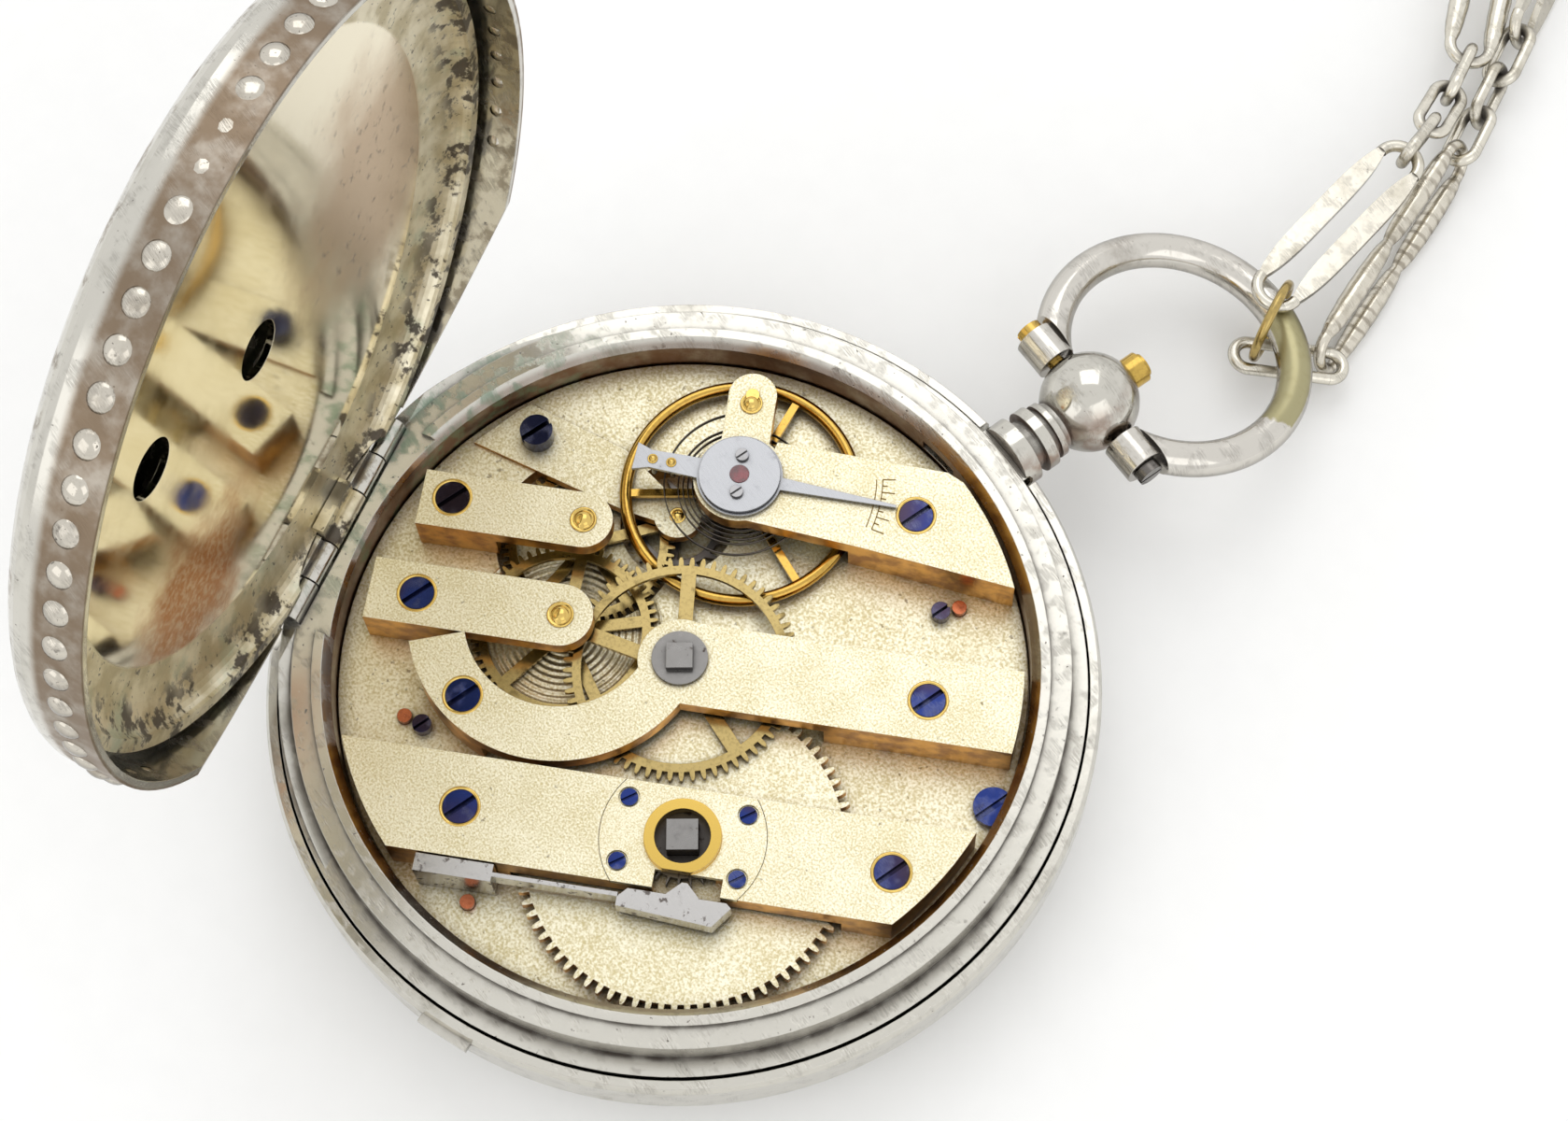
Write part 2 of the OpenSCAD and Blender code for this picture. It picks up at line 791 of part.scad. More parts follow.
module along_x(x0, x1, r) {
    translate([x0, 0, 0])
        rotate([0, 90, 0])
            cylinder(h = x1 - x0, r = r);
}

bow_arm_in = ball_r + 0.15;
bow_arm_out = 5.3;
bow_boss_r = 1.25;
button_seat = pendant_y - 1.6;
collar_r = 2.1;

module pendant() {
    color(silver)
        difference() {
            translate([0, 0, pendant_z]) {
                translate([0, pendant_y, 0])
                    sphere(ball_r);
                along_y(band_r - 1, pendant_y, neck_r);
                along_y(band_r - 1, band_r + 1.3, collar_r);
                along_y(band_r + 2, band_r + 2.7, collar_r - 0.1);
                along_y(band_r + 3.1, band_r + 3.5, collar_r - 0.3);
            }
            disc(0, ledge_z, band_r);
            disc(ledge_z - eps, 2 * ring_z, band_r + 0.25);
            translate([0, 0, pendant_z])
                along_y(button_seat - button_travel - 0.2, 2 * case_r, button_r + 0.04);
            translate([0, pendant_y, pendant_z])
                for (s = [0, 180])
                    rotate([0, 0, s])
                        along_x(button_r + 0.6, case_r, bow_screw_r);
        }
}

module push_button() {
    tip = pendant_y + ball_r + button_out;
    color(brass)
        translate([0, 0, pendant_z]) {
            along_y(button_seat, tip - 0.25, button_r);
            along_y(button_seat, tip, button_r - 0.25);
        }
}

module in_bow() {
    translate([0, pendant_y, pendant_z])
        rotate([-bow_tilt, 0, 0])
            children();
}

module bow() {
    color(silver)
        in_bow()
            difference() {
                union() {
                    difference() {
                        translate([0, bow_reach, 0])
                            rotate_extrude()
                                translate([bow_in_r + bow_wire / 2, 0])
                                    circle(d = bow_wire, $fn = 48);
                        block(-case_r, case_r, -case_r, 1, -bow_wire, bow_wire);
                    }
                    for (s = [0, 180])
                        rotate([0, 0, s])
                            along_x(bow_arm_in, bow_arm_out, bow_boss_r);
                }
                sphere(ball_r + 0.12);
                along_x(-case_r, case_r, bow_screw_r + 0.04);
            }
}

module bow_screws() {
    head_r = 0.8;
    head_h = 0.6;
    slot_w = 0.22;
    color(steel)
        translate([0, pendant_y, pendant_z])
            for (s = [0, 180])
                rotate([0, 0, s])
                    difference() {
                        union() {
                            along_x(button_r + 0.6, bow_arm_out + 0.05 + eps, bow_screw_r);
                            along_x(bow_arm_out + 0.05, bow_arm_out + 0.05 + head_h, head_r);
                        }
                        translate([bow_arm_out + head_h - 0.2, -2, -slot_w / 2])
                            cube([2, 4, slot_w]);
                    }
}

// Plate, dial and feet
escape_cock_z = plate_top - 0.45;
fourth_room = pitch_r(train_n, fourth_m) + fourth_m + train_gap;
escape_room = escape_r + train_gap;
staff_room = 1;

module plate_room() {
    at(barrel_xy) {
        disc(plate_z + drum_floor, plate_top + 1, drum_r + train_gap);
        disc(0, plate_top, wind_foot_r + fit);
    }
    disc(0, plate_top + 1, centre_pivot_r + fit);
    at(third_xy)
        disc(plate_top - 1.2, plate_top + 1, pivot_r + fit);
    at(fourth_xy) {
        disc(fourth_wheel_z - train_gap, plate_top + 1, fourth_room);
        disc(0, plate_top, pivot_r + fit);
    }
    at(escape_xy) {
        disc(plate_z + recess_floor, plate_top + 1, escape_room);
        disc(0, plate_top, pivot_r + fit);
    }
    at(balance_xy) {
        disc(plate_z + recess_floor, plate_top + 1, staff_room);
        disc(0, plate_top, pivot_r + fit);
    }
    raise(escape_cock_z, plate_top + 1)
        escape_cock_strip();
}

module main_plate() {
    color(gilt)
        on_movement() {
            difference() {
                union() {
                    disc(plate_z, plate_top, plate_r);
                    disc(plate_z, plate_z + flange_h, flange_r);
                }
                plate_room();
                for (p = concat(barrel_screws, centre_screws, [third_screw, fourth_screw, balance_screw]))
                    at(p)
                        disc(plate_top - 1.5, plate_top + 1, screw_shank_r + fit);
                at(escape_screw)
                    disc(plate_top - 1.5, plate_top + 1, screw_shank_r + fit);
                for (p = dial_feet_xy)
                    at(p)
                        disc(0, plate_top + 1, dial_foot_r + 0.01);
                for (p = dial_screws)
                    at(p)
                        disc(plate_top - 1, plate_top + 1, small_shank_r + 0.05);
                at(case_screw_xy)
                    disc(plate_top - 1.5, plate_top + 1, screw_shank_r + fit);
            }
            at(minute_xy)
                disc(dial_z + dial_t + 0.15, plate_z + eps, minute_stud_r);
        }
}

minute_stud_r = 0.35;
pipe_r = 0.75;
hour_pipe_r = 1.2;

module dial() {
    color([0.93, 0.92, 0.88])
        on_movement()
            difference() {
                disc(dial_z, dial_z + dial_t, dial_r);
                disc(0, plate_z, hour_pipe_r + 0.2);
                at(fourth_xy)
                    disc(0, plate_z, pivot_r + 0.2);
            }
}

module dial_feet() {
    color(copper)
        on_movement()
            for (p = dial_feet_xy)
                at(p)
                    disc(dial_z + dial_t, plate_top + 0.45, dial_foot_r);
}

// Bars and cocks
module bar_strip(y0, y1, x0, x1) {
    rotate(bar_tilt)
        translate([x0, y0])
            square([x1 - x0, y1 - y0]);
}

module cock_strip(xy, w, x_end) {
    p = turned(xy, -bar_tilt);
    bar_strip(p[1] - w / 2, p[1] + w / 2, x_end, p[0]);
}

module single_cock(xy, w, x_end, x_foot, screw_xy) {
    difference() {
        union() {
            raise(bar_z, bar_top) {
                cock_strip(xy, w, x_end);
                translate(xy)
                    circle(w / 2);
            }
            p = turned(xy, -bar_tilt);
            raise(plate_top, bar_z + eps)
                bar_strip(p[1] - w / 2, p[1] + w / 2, x_end, x_foot);
        }
        at(xy)
            disc(plate_top, bar_top + 1, pivot_r + fit);
        at(screw_xy)
            bar_screw_room();
    }
}

module third_cock() {
    color(gilt)
        on_movement()
            single_cock(third_xy, third_cock_w, third_end, third_foot, third_screw);
}

module fourth_cock() {
    color(gilt)
        on_movement()
            single_cock(fourth_xy, fourth_cock_w, fourth_end, fourth_foot, fourth_screw);
}

module arc_arm(span, r_in) {
    mid = (span[0] + span[1]) / 2;
    translate(third_xy)
        intersection() {
            difference() {
                circle(curved_arm[1]);
                circle(r_in);
            }
            polygon([[0, 0], polar(2 * plate_r, span[0]), polar(2 * plate_r, (span[0] + mid) / 2),
                polar(2 * plate_r, mid), polar(2 * plate_r, (span[1] + mid) / 2), polar(2 * plate_r, span[1])]);
        }
}

module centre_bridge() {
    color(gilt)
        on_movement()
            difference() {
                union() {
                    raise(bar_z, bar_top) {
                        circle(centre_boss_r);
                        intersection() {
                            bar_strip(centre_arm[0], centre_arm[1], 0, plate_r);
                            circle(bar_r);
                        }
                        arc_arm(curved_arm_az, curved_arm[0]);
                    }
                    raise(plate_top, bar_z + eps) {
                        intersection() {
                            bar_strip(centre_arm[0], centre_arm[1], centre_foot, plate_r);
                            circle(bar_r);
                        }
                        arc_arm([205, 240], curved_arm[0] + 0.3);
                    }
                }
                disc(plate_top, bar_top + 1, centre_pivot_r + fit);
                for (p = centre_screws)
                    at(p)
                        bar_screw_room();
            }
}

module barrel_bar_shape() {
    intersection() {
        bar_strip(barrel_bar[0], barrel_bar[1], -plate_r, plate_r);
        circle(bar_r);
    }
}

module at_cap_screws() {
    at(barrel_xy)
        rotate([0, 0, bar_tilt])
            for (sx = [-1, 1])
                for (sy = [-1, 1])
                    at([sx * cap_screw_xy[0], sy * cap_screw_xy[1]])
                        children();
}

module in_bars() {
    rotate([0, 0, bar_tilt])
        children();
}

barrel_bar_xy = turned(barrel_xy, -bar_tilt);
barrel_tip_r = pitch_r(barrel_n, barrel_m) + wheel_tooth[0] * barrel_m;
nose_x = barrel_bar_xy[0] + 0.4;

module barrel_bridge() {
    color(gilt)
        on_movement()
            difference() {
                union() {
                    raise(barrel_bar_z, bar_top)
                        barrel_bar_shape();
                    raise(plate_top, barrel_bar_z + eps)
                        difference() {
                            barrel_bar_shape();
                            translate(barrel_xy)
                                circle(barrel_tip_r + train_gap);
                        }
                }
                at(barrel_xy) {
                    disc(plate_top, bar_top + 1, wind_pivot_r + fit);
                    disc(ratchet_z - 0.05, bar_top + 1, ratchet_r + 0.25);
                }
                at(barrel_xy)
                    disc(bar_top - cap_t, bar_top + 1, cap_r + 0.03);
                at_cap_screws()
                    disc(bar_top - 1.1, bar_top, small_shank_r + fit);
                click_room(ratchet_z - 0.05);
                for (p = barrel_screws)
                    at(p)
                        bar_screw_room();
            }
}

module ratchet_cap() {
    boss_r = 2.15;
    boss_h = 0.4;
    color(gilt)
        on_movement()
            difference() {
                union() {
                    raise(bar_top - cap_t, bar_top)
                        intersection() {
                            translate(barrel_xy)
                                circle(cap_r);
                            barrel_bar_shape();
                        }
                    at(barrel_xy)
                        disc(bar_top - eps, bar_top + boss_h, boss_r);
                }
                at(barrel_xy)
                    disc(ratchet_z, bar_top + 2, wind_square * 0.75 + 0.25);
                at_cap_screws()
                    screw_room(bar_top, small_screw_r, 0.25, small_shank_r, ratchet_z);
                click_room(ratchet_z);
            }
}

click_z = ratchet_z - 0.35;
click_top = bar_top - 0.05;
click_y = barrel_bar[0] - 0.1;

module click_room(z0) {
    in_bars()
        block(nose_x - 1.6, nose_x + 2.2, barrel_bar[0] - 1, barrel_bar_xy[1] - 2, z0, bar_top + 1);
}

module click() {
    foot_x = [-12.4, -8];
    head_x = [nose_x - 3.4, nose_x + 2.9];
    blade_y = click_y - 0.45;
    nose_y = barrel_bar_xy[1] - ratchet_r + 0.2;
    nose_w = 0.75;
    color(steel)
        on_movement()
            in_bars() {
                block(foot_x[0], foot_x[1], click_y - 1, click_y, plate_top, click_top);
                block(foot_x[1] - eps, head_x[0] + eps, blade_y - 0.25, blade_y, click_z, click_top);
                raise(click_z, click_top)
                    polygon([[head_x[0], click_y - 0.7], [head_x[0] + 0.5, click_y - 0.15],
                        [head_x[1] - 0.3, click_y - 0.15], [head_x[1], click_y - 0.4],
                        [head_x[1] - 0.9, click_y - 1.6], [head_x[0], click_y - 1.2]]);
                raise(ratchet_z, click_top)
                    polygon([[nose_x - nose_w, click_y - 0.4], [nose_x - nose_w, click_y - 0.1],
                        [nose_x, nose_y], [nose_x + 0.3, nose_y], [nose_x + nose_w + 0.3, click_y - 0.1],
                        [nose_x + nose_w + 0.3, click_y - 0.4]]);
            }
}

module balance_cock_shape() {
    intersection() {
        polygon(balance_cock_outline);
        circle(bar_r);
    }
    translate(balance_xy) {
        circle(balance_boss_r);
        rotate(stud_az)
            translate([0, -stud_arm_w / 2])
                square([stud_dist, stud_arm_w]);
        translate(polar(stud_dist, stud_az))
            circle(stud_arm_w / 2 + 0.02);
    }
}

module balance_cock() {
    color(gilt)
        on_movement()
            difference() {
                union() {
                    raise(bar_z, bar_top)
                        balance_cock_shape();
                    raise(plate_top, bar_z + eps)
                        difference() {
                            balance_cock_shape();
                            translate(balance_xy)
                                circle(balance_room);
                        }
                }
                at(balance_xy) {
                    disc(plate_top, bar_top + 1, pivot_r + fit);
                    at(polar(stud_dist, stud_az))
                        disc(plate_top, bar_top + 1, stud_r + 0.01);
                    at_end_screws()
                        disc(bar_top - 0.7, bar_top + 1, small_shank_r + fit);
                }
                at(balance_screw)
                    bar_screw_room();
            }
}

module escape_cock_strip() {
    intersection() {
        polygon(escape_cock_outline);
        circle(plate_r - 0.3);
    }
}

module escape_cock() {
    top = escape_cock_z + escape_cock_t;
    color(gilt)
        on_movement()
            difference() {
                union() {
                    raise(escape_cock_z, top)
                        escape_cock_strip();
                    at(escape_xy)
                        disc(escape_cock_z, top, escape_boss_r);
                }
                at(escape_xy)
                    disc(escape_cock_z - 1, top + 1, pivot_r + fit);
                at(escape_screw)
                    disc(escape_cock_z - 1, top + 1, screw_shank_r + fit);
            }
}

module hairspring_stud() {
    color(steel)
        on_movement()
            at(balance_xy)
                at(polar(stud_dist, stud_az))
                    disc(hair_z - 0.1, bar_top + 0.12, stud_r);
}

end_ring_r = 1.7;
end_flange_r = 2.35;
regulator_z = bar_top + 0.03;
regulator_t = 0.24;
end_screw_dist = 1.15;

module at_end_screws() {
    for (s = [-1, 1])
        at(polar(s * end_screw_dist, stud_az))
            children();
}

module end_piece() {
    flange_z = regulator_z + regulator_t + 0.04;
    color(steel)
        on_movement()
            at(balance_xy)
                difference() {
                    union() {
                        disc(bar_top, flange_z + eps, end_ring_r);
                        disc(flange_z, flange_z + 0.22, end_flange_r);
                    }
                    disc(bar_top - 1, bar_top + 2, stone_r + 0.01);
                    at_end_screws()
                        disc(bar_top - 1, bar_top + 2, small_shank_r + fit);
                }
}

stone_r = 0.55;

module end_stone() {
    color([0.72, 0.12, 0.2])
        on_movement()
            at(balance_xy)
                disc(bar_top + 0.02, regulator_z + regulator_t + 0.3, stone_r);
}

module bridge_screws() {
    color(blued)
        on_movement() {
            for (p = concat(barrel_screws, centre_screws, [third_screw, fourth_screw, balance_screw]))
                at(p)
                    screw(bar_top, screw_head_r, screw_head_h, screw_shank_r, plate_top - 1.5);
            at(escape_screw)
                screw(escape_cock_z + escape_cock_t + escape_screw_rise, screw_head_r, escape_screw_rise,
                    screw_shank_r, plate_top - 1.5);
        }
}

module case_screw() {
    color(blued)
        on_movement()
            at(case_screw_xy)
                screw(plate_top + 0.5, case_screw_r, 0.5, screw_shank_r, plate_top - 1.5);
}

module small_screws() {
    color(blued)
        on_movement() {
            at_cap_screws()
                screw(bar_top, small_screw_r, 0.25, small_shank_r, bar_top - 1.1);
            for (p = dial_screws)
                at(p)
                    screw(plate_top + 0.7, dial_screw_r, 0.7, small_shank_r, plate_top - 1);
            at(balance_xy)
                at_end_screws()
                    screw(regulator_z + regulator_t + 0.48, 0.38, 0.22, small_shank_r, bar_top - 0.7);
        }
}

// Barrel and winding
module barrel() {
    wall = 0.5;
    inner = drum_r - wall;
    color(brass)
        on_movement()
            at(barrel_xy)
                difference() {
                    union() {
                        raise(barrel_tooth_z, barrel_tooth_z + barrel_tooth_h)
                            polygon(tooth_ring(barrel_n, barrel_m, wheel_tooth, barrel_az + 180));
                        disc(drum_z, barrel_tooth_z + eps, drum_r);
                    }
                    disc(0, barrel_tooth_z + 0.15, inner);
                    disc(0, bar_top, wind_pivot_r + fit);
                }
}

spring_hub_r = 1.8;

module barrel_cover() {
    color(brass)
        on_movement()
            at(barrel_xy)
                tube(drum_z, drum_z + 0.35, drum_r - 0.5, wind_foot_r + fit);
}

main_turns = 7;
main_pitch = 0.8;
main_t = 0.2;
main_path = strip_path(spring_hub_r + 0.15, main_pitch, main_turns * 360 - 1, main_turns * 360,
    spring_hub_r + 0.15 + main_pitch * main_turns, 0, 1, 15);

module mainspring() {
    color(steel)
        on_movement()
            at(barrel_xy)
                strip(main_path, main_t, drum_z + 0.5, barrel_tooth_z);
}

module barrel_arbor() {
    color(steel)
        on_movement()
            at(barrel_xy) {
                disc(plate_z + 0.05, drum_z + 0.4, wind_foot_r);
                disc(drum_z + 0.4, barrel_tooth_z + 0.1, spring_hub_r);
                disc(barrel_tooth_z + 0.1 - eps, ratchet_z - 0.03, wind_pivot_r);
                raise(ratchet_z - 0.03 - eps, square_top)
                    square(wind_square, center = true);
            }
}

module ratchet_wheel() {
    root = ratchet_r - 0.5;
    nose_az = bar_tilt - 90 + asin((nose_x + 0.15 - barrel_bar_xy[0]) / ratchet_r);
    points = [
        for (i = [0:ratchet_n - 1])
            each [polar(root, nose_az + (i + 0.05) * 360 / ratchet_n),
                polar(root, nose_az + (i + 0.35) * 360 / ratchet_n),
                polar(ratchet_r, nose_az + (i + 0.47) * 360 / ratchet_n),
                polar(ratchet_r, nose_az + (i + 0.53) * 360 / ratchet_n),
                polar(root, nose_az + (i + 0.65) * 360 / ratchet_n)]
    ];
    color(steel)
        on_movement()
            at(barrel_xy)
                raise(ratchet_z, ratchet_z + ratchet_t)
                    difference() {
                        polygon(points);
                        square(wind_square + 0.02, center = true);
                    }
}

// Going train
module setting_arbor() {
    collar_r = 1.6;
    color(steel)
        on_movement() {
            disc(minute_z - 0.15, bar_top + 0.05, set_arbor_r);
            disc(bar_top + 0.05 - eps, bar_top + 0.25, collar_r);
            raise(bar_top + 0.25 - eps, square_top)
                square(set_square, center = true);
        }
}

module centre_wheel() {
    color(brass)
        on_movement()
            wheel(centre_n, centre_m, third_az, centre_wheel_z, 1.5, centre_pivot_r + 0.15, 5, 0.85);
}

module centre_pinion() {
    color(steel)
        on_movement()
            difference() {
                union() {
                    disc(plate_z + 0.05, bar_top, centre_pivot_r);
                    disc(centre_wheel_z - eps, centre_wheel_z + wheel_t, centre_pivot_r + 0.15);
                    pinion(centre_leaves, barrel_m, barrel_az + 180 / centre_leaves,
                        plate_top + 0.35, centre_wheel_z);
                }
                disc(0, 2 * bar_top, set_arbor_r + 0.01);
            }
}

module train_arbor(z0, z1, shoulder0, shoulder1, shaft_r) {
    disc(z0, z1, pivot_r);
    disc(shoulder0, shoulder1, shaft_r);
}

module third_wheel() {
    color(brass)
        on_movement()
            at(third_xy)
                wheel(train_n, third_m, fourth_az, third_wheel_z, 1.1, 0.35, 5, 0.7);
}

module third_pinion() {
    color(steel)
        on_movement()
            at(third_xy) {
                train_arbor(plate_top - 1.1, bar_top - 0.05, plate_top + 0.05, bar_z - 0.05, 0.35);
                pinion(pinion_leaves, centre_m, third_az + 180 + 180 / pinion_leaves,
                    centre_wheel_z - 0.15, centre_wheel_z + wheel_t + 0.12);
            }
}

module fourth_wheel() {
    color(brass)
        on_movement()
            at(fourth_xy)
                wheel(train_n, fourth_m, escape_az, fourth_wheel_z, 1, 0.3, 5, 0.65);
}

module fourth_pinion() {
    color(steel)
        on_movement()
            at(fourth_xy) {
                train_arbor(seconds_z - 0.05, bar_top - 0.05, fourth_wheel_z - 0.1, bar_z - 0.1, 0.3);
                pinion(pinion_leaves, third_m, fourth_az + 180 + 180 / pinion_leaves,
                    third_wheel_z - 0.1, third_wheel_z + wheel_t + 0.15);
            }
}

module escape_wheel() {
    rim = escape_r - 0.75;
    tooth_pitch = 360 / escape_n;
    color(steel)
        on_movement()
            at(escape_xy) {
                raise(escape_wheel_z, escape_wheel_z + wheel_t)
                    difference() {
                        union() {
                            circle(rim);
                            for (i = [0:escape_n - 1])
                                polygon([polar(rim - 0.1, (i - 0.25) * tooth_pitch),
                                    polar(escape_r, (i + 0.3) * tooth_pitch),
                                    polar(escape_r - 0.12, (i + 0.36) * tooth_pitch),
                                    polar(rim - 0.1, (i + 0.2) * tooth_pitch)]);
                        }
                        crossings(rim - 0.4, 0.8, 3, 0.5, 20);
                    }
                disc(plate_z + 0.05, escape_cock_z + escape_cock_t - 0.05, pivot_r);
                disc(escape_wheel_z - 0.05, escape_cock_z - 0.05, 0.26);
                pinion(escape_leaves, fourth_m, escape_az + 180 + 180 / escape_leaves,
                    fourth_wheel_z - 0.1, fourth_wheel_z + wheel_t + 0.08);
            }
}

// Balance
staff_r = 0.55;
hub_r = 0.95;

module balance_wheel() {
    arm_w = 0.46;
    arm_t = 0.32;
    color(brass)
        on_movement()
            at(balance_xy) {
                translate([0, 0, balance_z])
                    rotate_extrude()
                        translate([balance_r - rim_d / 2, 0])
                            circle(d = rim_d, $fn = 32);
                difference() {
                    union() {
                        disc(balance_z - arm_t / 2, balance_z + arm_t / 2, hub_r);
                        for (a = [180, 60, -60])
                            rotate([0, 0, a])
                                block(0, balance_r - rim_d / 2, -arm_w / 2, arm_w / 2,
                                    balance_z - arm_t / 2, balance_z + arm_t / 2);
                    }
                    disc(plate_top, bar_top, staff_r);
                }
            }
}

module balance_staff() {
    collet_r = 1;
    color(steel)
        on_movement()
            at(balance_xy) {
                disc(plate_z + 0.05, bar_top - 0.02, pivot_r);
                disc(plate_z + recess_floor + 0.1, hair_z - 0.05, staff_r);
                disc(hair_z - 0.05 - eps, hair_z + hair_h + 0.05, collet_r);
            }
}

hair_in_r = 1.2;
hair_lead = hair_turns * 360 - 86;
hair_end_r = stud_dist - stud_r - 0.12;
hair_path = strip_path(hair_in_r, hair_pitch, hair_lead, hair_turns * 360, hair_end_r,
    stud_az + hair_turns * 360, -1, 15);

module hairspring() {
    color(blued)
        on_movement()
            at(balance_xy)
                strip(hair_path, hair_t, hair_z, hair_z + hair_h);
}

module regulator() {
    ring_r = 2.5;
    tail_len = 6.2;
    pin_r = 0.16;
    color(steel)
        on_movement()
            at(balance_xy)
                rotate([0, 0, regulator_az]) {
                    raise(regulator_z, regulator_z + regulator_t)
                        difference() {
                            union() {
                                circle(ring_r);
                                polygon([[0, -0.5], [-pointer_len, -0.08], [-pointer_len, 0.08], [0, 0.5]]);
                                polygon([[0, -0.7], [tail_len - 0.9, -0.55], [tail_len, -0.85],
                                    [tail_len, 0.85], [tail_len - 0.9, 0.55], [0, 0.7]]);
                            }
                            circle(end_ring_r + 0.05);
                        }
                    for (r = curb_r)
                        at([r, 0])
                            disc(hair_z + 0.05, regulator_z + regulator_t + 0.1, pin_r);
                }
}

// Motion work and hands
motion_wheel_z = plate_z - 0.4;
hour_wheel_z = plate_z - 0.9;

module cannon_pinion() {
    color(steel)
        on_movement()
            difference() {
                union() {
                    pinion(cannon_n, cannon_m, minute_az + 180 / cannon_n, motion_wheel_z, motion_wheel_z + wheel_t);
                    disc(minute_z - 0.1, motion_wheel_z + eps, pipe_r);
                }
                disc(0, plate_z, set_arbor_r + 0.01);
            }
}

module minute_wheel() {
    color(brass)
        on_movement()
            at(minute_xy)
                difference() {
                    union() {
                        raise(motion_wheel_z, motion_wheel_z + wheel_t)
                            polygon(tooth_ring(minute_n, cannon_m, wheel_tooth, minute_az + 180));
                        pinion(minute_leaves, hour_m, minute_az + 180 + 180 / minute_leaves,
                            hour_wheel_z, motion_wheel_z + eps);
                    }
                    disc(0, plate_z, minute_stud_r + fit);
                }
}

module hour_wheel() {
    color(brass)
        on_movement()
            difference() {
                union() {
                    raise(hour_wheel_z, hour_wheel_z + wheel_t)
                        polygon(tooth_ring(hour_n, hour_m, wheel_tooth, minute_az));
                    disc(hour_z - 0.05, hour_wheel_z + eps, hour_pipe_r);
                }
                disc(0, plate_z, pipe_r + 0.05);
            }
}

// A hand with a round boss, a slim shaft and a pear shaped tip
module hand(z0, length, boss, bore, shaft_w, pear) {
    raise(z0, z0 + hand_t)
        difference() {
            union() {
                circle(boss);
                translate([0, -shaft_w / 2])
                    square([length * 0.7, shaft_w]);
                translate([length * 0.66, 0])
                    circle(pear);
                polygon([[length * 0.66, -pear * 0.9], [length, 0], [length * 0.66, pear * 0.9]]);
            }
            circle(bore);
        }
}

module hour_hand() {
    color(blued)
        rotate([0, 0, 125])
            hand(hour_z, hour_len, 1.9, hour_pipe_r, 0.5, 0.95);
}

module minute_hand() {
    color(blued)
        rotate([0, 0, 60])
            hand(minute_z, minute_len, 1.4, pipe_r, 0.4, 0.75);
}

module seconds_hand() {
    color(blued)
        on_movement()
            at(fourth_xy)
                rotate([0, 0, 200])
                    hand(seconds_z, seconds_len, 0.55, pivot_r, 0.16, 0.2);
}

// Chain
module wire_arc(r, wire) {
    rotate([0, 0, -90])
        rotate_extrude(angle = 180)
            translate([r, 0])
                circle(d = wire, $fn = 32);
}

module oval_ring(length, w, wire) {
    r = (w - wire) / 2;
    half = (length - w) / 2;
    for (s = [0, 180])
        rotate([0, 0, s]) {
            translate([half, 0, 0])
                wire_arc(r, wire);
            translate([0, r, 0])
                along_x(-half - eps, half + eps, wire / 2 - 0.01);
        }
}

module laid(p, turn) {
    translate(p)
        rotate([0, -turn[1], turn[0]])
            rotate([turn[2], 0, 0])
                children();
}

long_w = 3.35;
leaf_w = 1.4;
leaf_t = 0.5;
spindle_r = 0.68;

// A long link with two flat leaf shaped sides
module leaf_link(length) {
    r = (long_w - link_wire) / 2;
    half = (length - long_w) / 2;
    steps = 10;
    upper = [for (i = [-steps:steps]) [half * i / steps, link_wire * 0.36 + (leaf_w - link_wire * 0.72) / 2
        * (1 - pow(i / steps, 4))]];
    lower = [for (i = [2 * steps:-1:0]) [upper[i][0], -upper[i][1]]];
    for (s = [0, 180])
        rotate([0, 0, s]) {
            translate([half, 0, 0])
                wire_arc(r, link_wire);
            translate([0, r, -leaf_t / 2])
                linear_extrude(leaf_t)
                    polygon(concat(upper, lower));
        }
}

// A long link whose sides are each two ribbed spindles that meet at a waist
module spindle_link(length) {
    r = (long_w - link_wire) / 2;
    half = (length - long_w) / 2;
    steps = 24;
    waist = link_wire * 0.48;
    outline = [
        for (i = [0:steps])
            let (u = i / steps, swell = sqrt(abs(sin(360 * u))))
            [waist + (spindle_r - waist) * swell * (i % 2 == 0 ? 1 : 0.93), 2 * half * u - half]
    ];
    for (s = [0, 180])
        rotate([0, 0, s]) {
            translate([half, 0, 0])
                wire_arc(r, link_wire);
            translate([0, r, 0])
                rotate([0, 90, 0])
                    rotate_extrude($fn = 32)
                        polygon(concat([[0, -half - eps], [waist, -half - eps]], outline,
                            [[waist, half + eps], [0, half + eps]]));
        }
}

jump_at = [1.29, 43.01, 3.75];
jump_turn = [89.16, 0, -64.37];
oval_at = [3.55, 42.75, 2.25];
oval_turn = [50.5, -10.34, -3.49];
oval_len = 7.7;
flat_at = [-0.9, 49.92, 5.08];
flat_turn = [101.74, -2.8, 2.6];
hammered_at = [1.72, 52.65, 1.92];
hammered_turn = [110.38, 0, 65.81];
strand_a_turns = [[109.4, -17.11], [113.77, -12.39], [118.06, -8.11], [127.99, -2.12]];
strand_b_turns = [[116.29, -2.05], [116.45, -0.15], [117.1, 2.81], [117.67, 1.09]];
strand_a_roll = 97.08;
strand_b_roll = -27;
hook = link_wire + 0.12;
end_ring_d = 4.2;

function heading(turn) = [cos(turn[0]) * cos(turn[1]), sin(turn[0]) * cos(turn[1]), sin(turn[1])];
function top_of(p, turn, length) = p + (length - link_wire) / 2 * heading(turn);

module jump_ring() {
    color(brass)
        translate(jump_at)
            rotate(jump_turn)
                rotate_extrude()
                    translate([(jump_d - jump_wire) / 2, 0])
                        circle(d = jump_wire, $fn = 32);
}

module oval_link() {
    color(silver)
        laid(oval_at, oval_turn)
            oval_ring(oval_len, link_w, link_wire);
}

